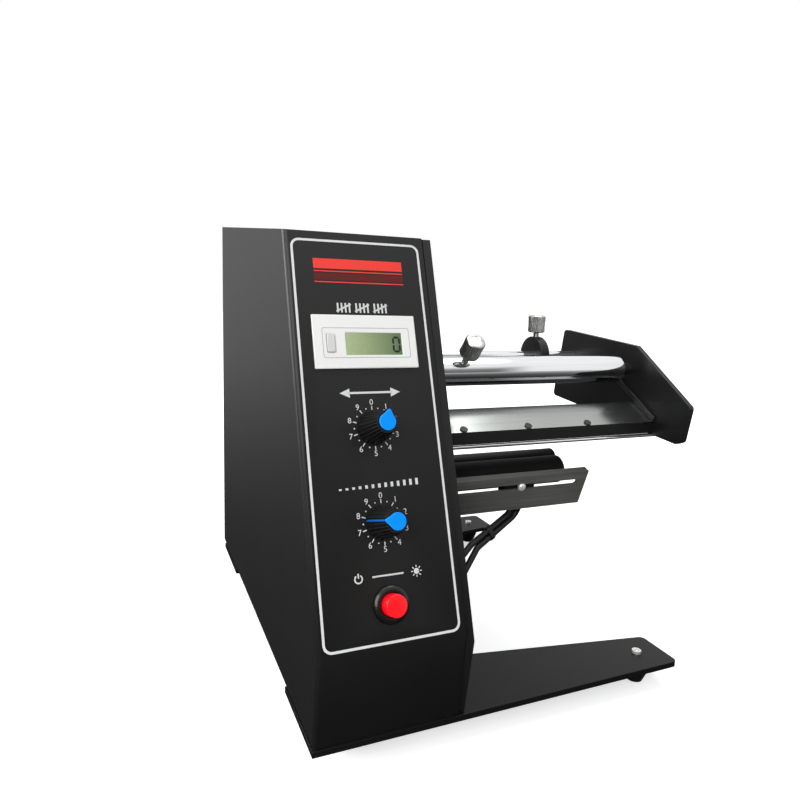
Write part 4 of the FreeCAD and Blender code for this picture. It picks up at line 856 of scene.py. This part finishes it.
@dataclass
class Controls:
    """Dial details and the round power button."""

    knob_radius: float = 7.5
    knob_low: float = 0.8
    knob_top: float = 16.4
    taper: float = math.tan(math.radians(9.6))
    line_half: float = 0.38
    line_lift: float = 0.12
    line_sunk: float = 0.6
    button_at: float = 17.0
    rim_radius: float = 8.0
    rim_height: float = 2.2
    lens_radius: float = 4.7
    lens_top: float = 7.6

    def build(self, shop: Workshop) -> None:
        """Add pointer lines, soften the knobs and caps and turn the button.

        Args:
            shop: where pieces are made.
        """
        for word, up, turn in (("length", PLACES.length_at, 15.0), ("speed", PLACES.speed_at, 280.0)):
            self.pointer(shop, word, up, turn)
            shop.softened(f"{word}_knob", f"{word}_dial", KNOB, 0.15)
            shop.softened(f"{word}_knob_cap", f"{word}_dial", BLUE, 0.35, 3)
        self.button(shop)

    def pointer(self, shop: Workshop, word: str, up: float, turn: float) -> None:
        """Lay the pointer line down the side of a knob, from the cap's point to the panel.

        Args:
            shop: where pieces are made.
            word: which dial.
            up: the dial's place up the panel.
            turn: the pointer's direction, clockwise from straight up, in degrees.
        """
        toward = np.array(clockwise(1.0, turn))
        side = np.array([toward[1], -toward[0]])
        rows = []
        for level in (self.knob_low + 0.1, self.knob_top - 0.25):
            radius = self.knob_radius - (level - self.knob_low) * self.taper
            near, far, half = radius - self.line_sunk, radius + self.line_lift, self.line_half
            corners = [(near, -half), (far, -half), (far, half), (near, half)]
            spots = [toward * reach + side * across + (PLACES.middle, up) for reach, across in corners]
            rows.append(PLACES.on_panel(np.column_stack([np.array(spots), np.full(4, level)])))
        shell = Shell()
        shell.grid(np.stack(rows), caps=True)
        shop.keep(shell.build(f"{word}_pointer_line"), f"{word}_dial", BLUE_LINE)

    def button(self, shop: Workshop) -> None:
        """Turn the button's rounded rim and its domed lens about the button's axis.

        Args:
            shop: where pieces are made.
        """
        start = tuple(PLACES.on_panel(np.array([[PLACES.middle, self.button_at, 0.0]]))[0] / MM)
        rim = [(-15.0, 4.76), (-15.0, 6.2), (-0.2, 6.2), (-0.2, 6.2), (0.0, self.rim_radius - 0.05),
               (0.5, self.rim_radius), (1.4, self.rim_radius - 0.35), (2.0, self.rim_radius - 1.2),
               (self.rim_height, self.rim_radius - 2.1), (self.rim_height - 0.1, 5.3), (1.5, 4.76)]
        shell = Shell()
        turned(shell, rim, start, PLACES.out(), 96, ring=True)
        shop.keep(shell.build("button_rim_ring"), "frame", GLOSS_BLACK, "button_housing")
        turns = np.linspace(0.0, np.pi / 2, 7)
        top = [(self.lens_top - 1.1 + 0.7 * math.sin(t), self.lens_radius - 0.8 + 0.8 * math.cos(t))
               for t in turns]
        dome = [(self.lens_top - 0.4 + 0.4 * (1 - (r / 3.9) ** 2), r) for r in (3.2, 2.4, 1.6, 0.8)]
        lens = Shell()
        turned(lens, [(-6.0, 0.0), (-6.0, self.lens_radius), *top, *dome, (self.lens_top, 0.0)], start,
               PLACES.out(), 72)
        shop.keep(lens.build("button_lens"), "power_switch", LENS, "power_button")


# ---------------------------------------------------------------- rods and rollers

def knurl(count: int, depth: float, pitch: float) -> Callable[[np.ndarray, np.ndarray], np.ndarray]:
    """A diamond knurl: the smaller of two crossed helical waves, as extra radius.

    Args:
        count: ridges round the part.
        depth: ridge height in millimetres.
        pitch: millimetres along the axis for one turn of phase.

    Returns:
        A function of angle and distance along the axis.
    """
    def relief(angle: np.ndarray, along: np.ndarray) -> np.ndarray:
        """Extra radius at each point.

        Args:
            angle: angles round the axis.
            along: distances along the axis.

        Returns:
            The extra radius, never above zero.
        """
        first = np.cos(count * angle + 2 * np.pi * along / pitch)
        second = np.cos(count * angle - 2 * np.pi * along / pitch)
        return -depth * (1 - np.minimum(first, second)) / 2

    return relief

@dataclass
class Arm:
    """The rods, sleeve, disc, thumbscrews and rollers of the open arm."""

    tube_y: float = -50.9
    tube_z: float = 160.5
    tube_radius: float = 7.5
    tube_gap: float = 8.4
    rod_y: float = 0.1
    rod_z: float = 162.6
    disc_radius: float = 12.0
    roller_start: float = -30.5
    thumb_radius: float = 5.3
    thumb_height: float = 10.5
    neck_radius: float = 1.7
    shank_radius: float = 1.5
    thumb_core: float = 3.5
    thumb_lean: float = math.radians(42.0)
    bracket_tilt: float = math.radians(19.5)
    cable_radius: float = 1.6
    band_half: float = 1.3

    def build(self, shop: Workshop) -> None:
        """Make every turned piece and soften the flat ones.

        Args:
            shop: where pieces are made.
        """
        start = PLACES.plate_right + 1.5
        tube, rod = (self.tube_y, self.tube_z), (self.rod_y, self.rod_z)
        tube_length = PLACES.side_left - self.tube_gap - start
        for name, body, finish, node, profile, x, spot in (
                ("sleeve_tube", "tube", CHROME, "front_tube",
                 bar_profile(self.tube_radius, tube_length, 0.5, 3.06), start, tube),
                ("disc_guide", "label_guide", ANODISED, "label_disc",
                 bar_profile(self.disc_radius, 6.0, 0.6, 3.06), 66.8, rod),
                ("rod_rear", "frame", CHROME, "rear_rod", bar_profile(3.0, 143.9, 0.2), -44.5, rod),
                ("rod_guide", "frame", CHROME, "guide_rod",
                 bar_profile(1.0, 140.0, 0.2), -37.5, (-73.3, 126.2)),
                ("roller_rubber", "drive", ROLLER, "drive_roller",
                 bar_profile(7.5, 81.0, 0.7, 3.02), self.roller_start, (-56.9, 106.0)),
                ("roller_pinch", "pinch", PINCH, "pinch_roller",
                 bar_profile(5.0, 86.0, 0.9, 2.06), self.roller_start, (-44.1, 109.2))):
            shell = Shell()
            turned(shell, profile, (x, *spot), (1.0, 0.0, 0.0), 128, ring=profile[0][1] > 0.0)
            shop.keep(shell.build(name), body, finish, node)
        self.thumbscrew(shop, "tube_thumbscrew", "tube_clamp", (-10.5, *tube),
                        (0.0, -math.sin(self.thumb_lean), math.cos(self.thumb_lean)), self.tube_radius, 5.0)
        self.thumbscrew(shop, "disc_thumbscrew", "guide_clamp", (69.8, *rod), (0.0, 0.0, 1.0),
                        self.disc_radius, 2.4)
        self.sensor_screw(shop)
        self.cable_band(shop)
        for node, finish, width in (("side_plate", ANODISED, 0.3), ("peel_bar", ANODISED, 0.3),
                                    ("peel_plate", MIRROR, 0.15), ("sensor_bracket", BRACKET, 0.25),
                                    ("label_sensor", SENSOR, 0.4), ("side_rail", TRACK, 0.2)):
            shop.softened(node, "frame", finish, width)

    def sensor_screw(self, shop: Workshop) -> None:
        """Turn the sensor's pan-head screw: a domed head on the bracket's face.

        Args:
            shop: where pieces are made.
        """
        down, behind = 6.5, (0.0, math.cos(self.bracket_tilt), math.sin(self.bracket_tilt))
        face = (17.5, -74.9 + down * math.sin(self.bracket_tilt), 109.0 - down * math.cos(self.bracket_tilt))
        turns = np.linspace(0.0, np.pi / 2, 9)
        head = [(0.1 - 1.6 * math.cos(t), 2.2 * math.sin(t) ** 0.8) for t in turns]
        shank = [(0.0, self.shank_radius), (6.5, self.shank_radius), (6.5, 0.0)]
        shell = Shell()
        turned(shell, [*head, *shank], face, behind, 48)
        shop.keep(shell.build("sensor_screw_turned"), "frame", BRIGHT_ZINC, "sensor_screw")

    def cable_band(self, shop: Workshop) -> None:
        """Tie the two sensor cables: a flat band whose section is a stadium round both of them.

        Args:
            shop: where pieces are made.
        """
        along = np.array([-0.879, -0.292, -0.376])
        near, far = np.array([5.1, -67.3, 76.6]), np.array([1.3, -67.3, 78.5])
        across = (far - near) - along * np.dot(far - near, along)
        gap = float(np.linalg.norm(across))
        across /= gap
        upward = np.cross(along, across)
        angle = np.linspace(-np.pi / 2, 3 * np.pi / 2, 48, endpoint=False)
        shift = np.where(np.cos(angle) >= 0.0, gap / 2, -gap / 2)
        rows = []
        for wall, side in ((0.02, -1), (0.6, -1), (0.6, 1), (0.02, 1)):
            reach = self.cable_radius + wall
            loop = np.outer(shift + reach * np.cos(angle), across) + np.outer(reach * np.sin(angle), upward)
            rows.append(((near + far) / 2 + along * side * self.band_half + loop) * MM)
        shell = Shell()
        shell.grid(np.stack(rows), close_rows=True)
        shop.keep(shell.build("cable_band"), "frame", JACKET)

    def thumbscrew(self, shop: Workshop, node: str, body: str, centre: Point, axis: Point, surface: float,
                   neck: float) -> None:
        """Turn a thumbscrew: plain shank, narrow neck and a head with a diamond knurl.

        Args:
            shop: where pieces are made.
            node: the CAD node that it stands for.
            body: the body it rides on.
            centre: a point on the axis of the part that it clamps.
            axis: the screw's direction.
            surface: distance from the centre to the part's surface.
            neck: length of the narrow neck under the head.
        """
        core, shank, wide, low = self.thumb_core, self.shank_radius, self.thumb_radius, surface + 0.1
        head = low + neck
        top = head + self.thumb_height
        shell = Shell()
        stem = [(core, 0.0), (core, shank - 0.3), (core + 0.3, shank), (low, shank), (low, self.neck_radius),
                (head + 0.3, self.neck_radius), (head + 0.3, 0.0)]
        turned(shell, stem, centre, axis, 48)
        rows = [(head + 0.7 + step * (self.thumb_height - 1.4) / 24, wide) for step in range(25)]
        turned(shell, rows, centre, axis, 168, knurl(30, 0.34, 24.0))
        under = [(head, 0.0), (head, 4.2), (head + 0.25, 4.7), (head + 0.75, wide - 0.3)]
        over = [(top - 0.75, wide - 0.3), (top - 0.2, 4.7), (top, 4.3), (top, 3.2), (top - 0.25, 3.0),
                (top - 0.25, 0.0)]
        for profile in (under, over):
            turned(shell, profile, centre, axis, 168)
        shop.keep(shell.build(f"{node}_turned", 40.0), body, NICKEL, node)


# ---------------------------------------------------------------- studio

@dataclass
class Studio:
    """Floor, lamps, world and camera."""

    camera_at: Point = (-0.1722, -0.3503, 0.2023)
    yaw: float = 0.4069
    pitch: float = -0.1694
    roll: float = 0.0384
    lens: float = 29.88
    sensor: float = 36.0
    aim: Point = (0.0, 0.0, 0.11)
    floor_size: float = 8.0
    floor_z: float = -0.0002
    even_light: float = 0.24

    def build(self) -> None:
        """Set up the whole studio."""
        self.world()
        self.floor()
        self.lamps()
        self.camera()
        bpy.context.scene.view_settings.view_transform = "Standard"

    def world(self) -> None:
        """White behind; in reflections bright above and at the back, dim in front; even light elsewhere."""
        world = bpy.data.worlds.new("studio")
        bpy.context.scene.world = world
        world.use_nodes = True
        wires = Wiring(world.node_tree)
        even, surface = (world.node_tree.nodes[name] for name in ("Background", "World Output"))
        wires.fill(even, {"Color": (0.97, 0.98, 1.0, 1.0), "Strength": self.even_light})
        room, white = (wires.add("Background", {"Color": (1.0, 1.0, 1.0, 1.0)}) for _ in range(2))
        toward, parts, path = wires.add("TexCoord"), wires.add("SeparateXYZ"), wires.add("LightPath")
        rise = wires.add("ValToRGB")
        for place, level in ((0.001, 0.16), (0.30, 0.24), (0.60, 1.0)):
            mark = rise.color_ramp.elements.new(place)
            mark.color = (level, level, level, 1.0)
        behind = wires.add("MapRange", dict(zip(RANGE_ENDS, (0.1, 0.8, 0.0, 0.45))))
        beside = wires.add("MapRange", dict(zip(RANGE_ENDS, (0.44, 0.56, 0.0, 0.95))))
        wider, brighter = (wires.add("Math", operation="MAXIMUM") for _ in range(2))
        first, last = wires.add("MixShader"), wires.add("MixShader")
        wires.join((toward, "Generated", parts, 0), (parts, "Z", rise, "Fac"), (parts, "Y", behind, "Value"),
                   (parts, "X", beside, "Value"), (rise, "Color", wider, 0), (behind, "Result", wider, 1),
                   (wider, 0, brighter, 0), (beside, "Result", brighter, 1), (brighter, 0, room, "Strength"),
                   (path, "Is Glossy Ray", first, "Fac"), (even, 0, first, 1), (room, 0, first, 2),
                   (path, "Is Camera Ray", last, "Fac"), (first, 0, last, 1), (white, 0, last, 2),
                   (last, 0, surface, "Surface"))

    def floor(self) -> None:
        """A pale floor that keeps the shadow, looks near white and is dim in reflections."""
        outline = block_outline(self.floor_size, self.floor_size)
        mesh = bpy.data.meshes.new("studio_floor")
        mesh.from_pydata([(x, y, self.floor_z) for x, y in outline], [], [(0, 1, 2, 3)])
        thing = linked("studio_floor", mesh)
        material = bpy.data.materials.new("studio_floor")
        material.use_nodes = True
        wires = Wiring(material.node_tree)
        shader, surface = (material.node_tree.nodes[name] for name in ("Principled BSDF", "Material Output"))
        wires.fill(shader, {"Base Color": (0.86, 0.86, 0.86, 1.0), "Emission Color": (1.0, 1.0, 1.0, 1.0),
                            "Roughness": 0.9, "Specular IOR Level": 0.1})
        path, spots, dark = wires.add("LightPath"), wires.add("TexCoord"), wires.add("Emission")
        glow = wires.add("Math", operation="MULTIPLY")
        reach = wires.add("VectorMath", operation="LENGTH")
        fade = wires.add("MapRange", dict(zip(RANGE_ENDS, (0.25, 1.3, 0.03, 0.42))))
        lift = wires.add("MapRange", dict(zip(RANGE_ENDS, (0.30, 0.80, 0.60, 1.05))))
        mix = wires.add("MixShader")
        wires.join((spots, "Object", reach, 0), (reach, "Value", fade, "Value"),
                   (reach, "Value", lift, "Value"), (fade, "Result", dark, "Strength"),
                   (path, "Is Camera Ray", glow, 0), (lift, "Result", glow, 1),
                   (glow, 0, shader, "Emission Strength"), (path, "Is Glossy Ray", mix, "Fac"),
                   (shader, 0, mix, 1), (dark, 0, mix, 2), (mix, 0, surface, "Surface"))
        mesh.materials.append(material)

    def lamps(self) -> None:
        """Large soft lamps: front left, above, and one on the left side."""
        for name, power, size, spot in (("lamp_key", 14.5, 0.9, (-0.95, -0.95, 0.8)),
                                        ("lamp_above", 11.0, 1.2, (0.15, 0.0, 1.5)),
                                        ("lamp_side", 22.0, 0.9, (-1.3, 0.6, 0.6))):
            lamp = bpy.data.lights.new(name, "AREA")
            lamp.energy = power
            lamp.size = size
            thing = linked(name, lamp)
            thing.location = spot
            toward = Vector(self.aim) - Vector(spot)
            thing.rotation_euler = toward.to_track_quat("-Z", "Y").to_euler()

    def camera(self) -> None:
        """The camera: heading from +Y toward +X, tilt and roll."""
        level = math.cos(self.pitch)
        forward = Vector((math.sin(self.yaw) * level, math.cos(self.yaw) * level, math.sin(self.pitch)))
        flat_right = Vector((math.cos(self.yaw), -math.sin(self.yaw), 0.0))
        flat_up = flat_right.cross(forward)
        right = flat_right * math.cos(self.roll) + flat_up * math.sin(self.roll)
        upward = flat_up * math.cos(self.roll) - flat_right * math.sin(self.roll)
        data = bpy.data.cameras.new("camera")
        data.lens = self.lens
        data.sensor_width = self.sensor
        data.clip_start = 0.01
        thing = linked("camera", data)
        turn = Matrix((right, upward, -forward)).transposed()
        thing.matrix_world = Matrix.Translation(Vector(self.camera_at)) @ turn.to_4x4()
        bpy.context.scene.camera = thing


def corners(low_high: Iterable[Iterable[float]]) -> list[list[float]]:
    """A box as plain lists of numbers."""
    return [[float(value) for value in corner] for corner in low_high]


def main(frame: dict) -> None:
    """Build the machine in order.
    """
    logging.basicConfig(level=logging.INFO)
    shop = Workshop(frame)
    shop.dress_nodes({"side_rail": TRACK, "sensor_bracket": BRACKET, "main_plate": PLATE_EDGE,
                      "foot_screws": BRIGHT_ZINC})
    ControlBox().build(shop)
    PanelPrint().build(shop)
    Counter().build(shop)
    Controls().build(shop)
    Arm().build(shop)
    Studio().build()


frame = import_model()

if __name__ == "__main__":
    main(frame)
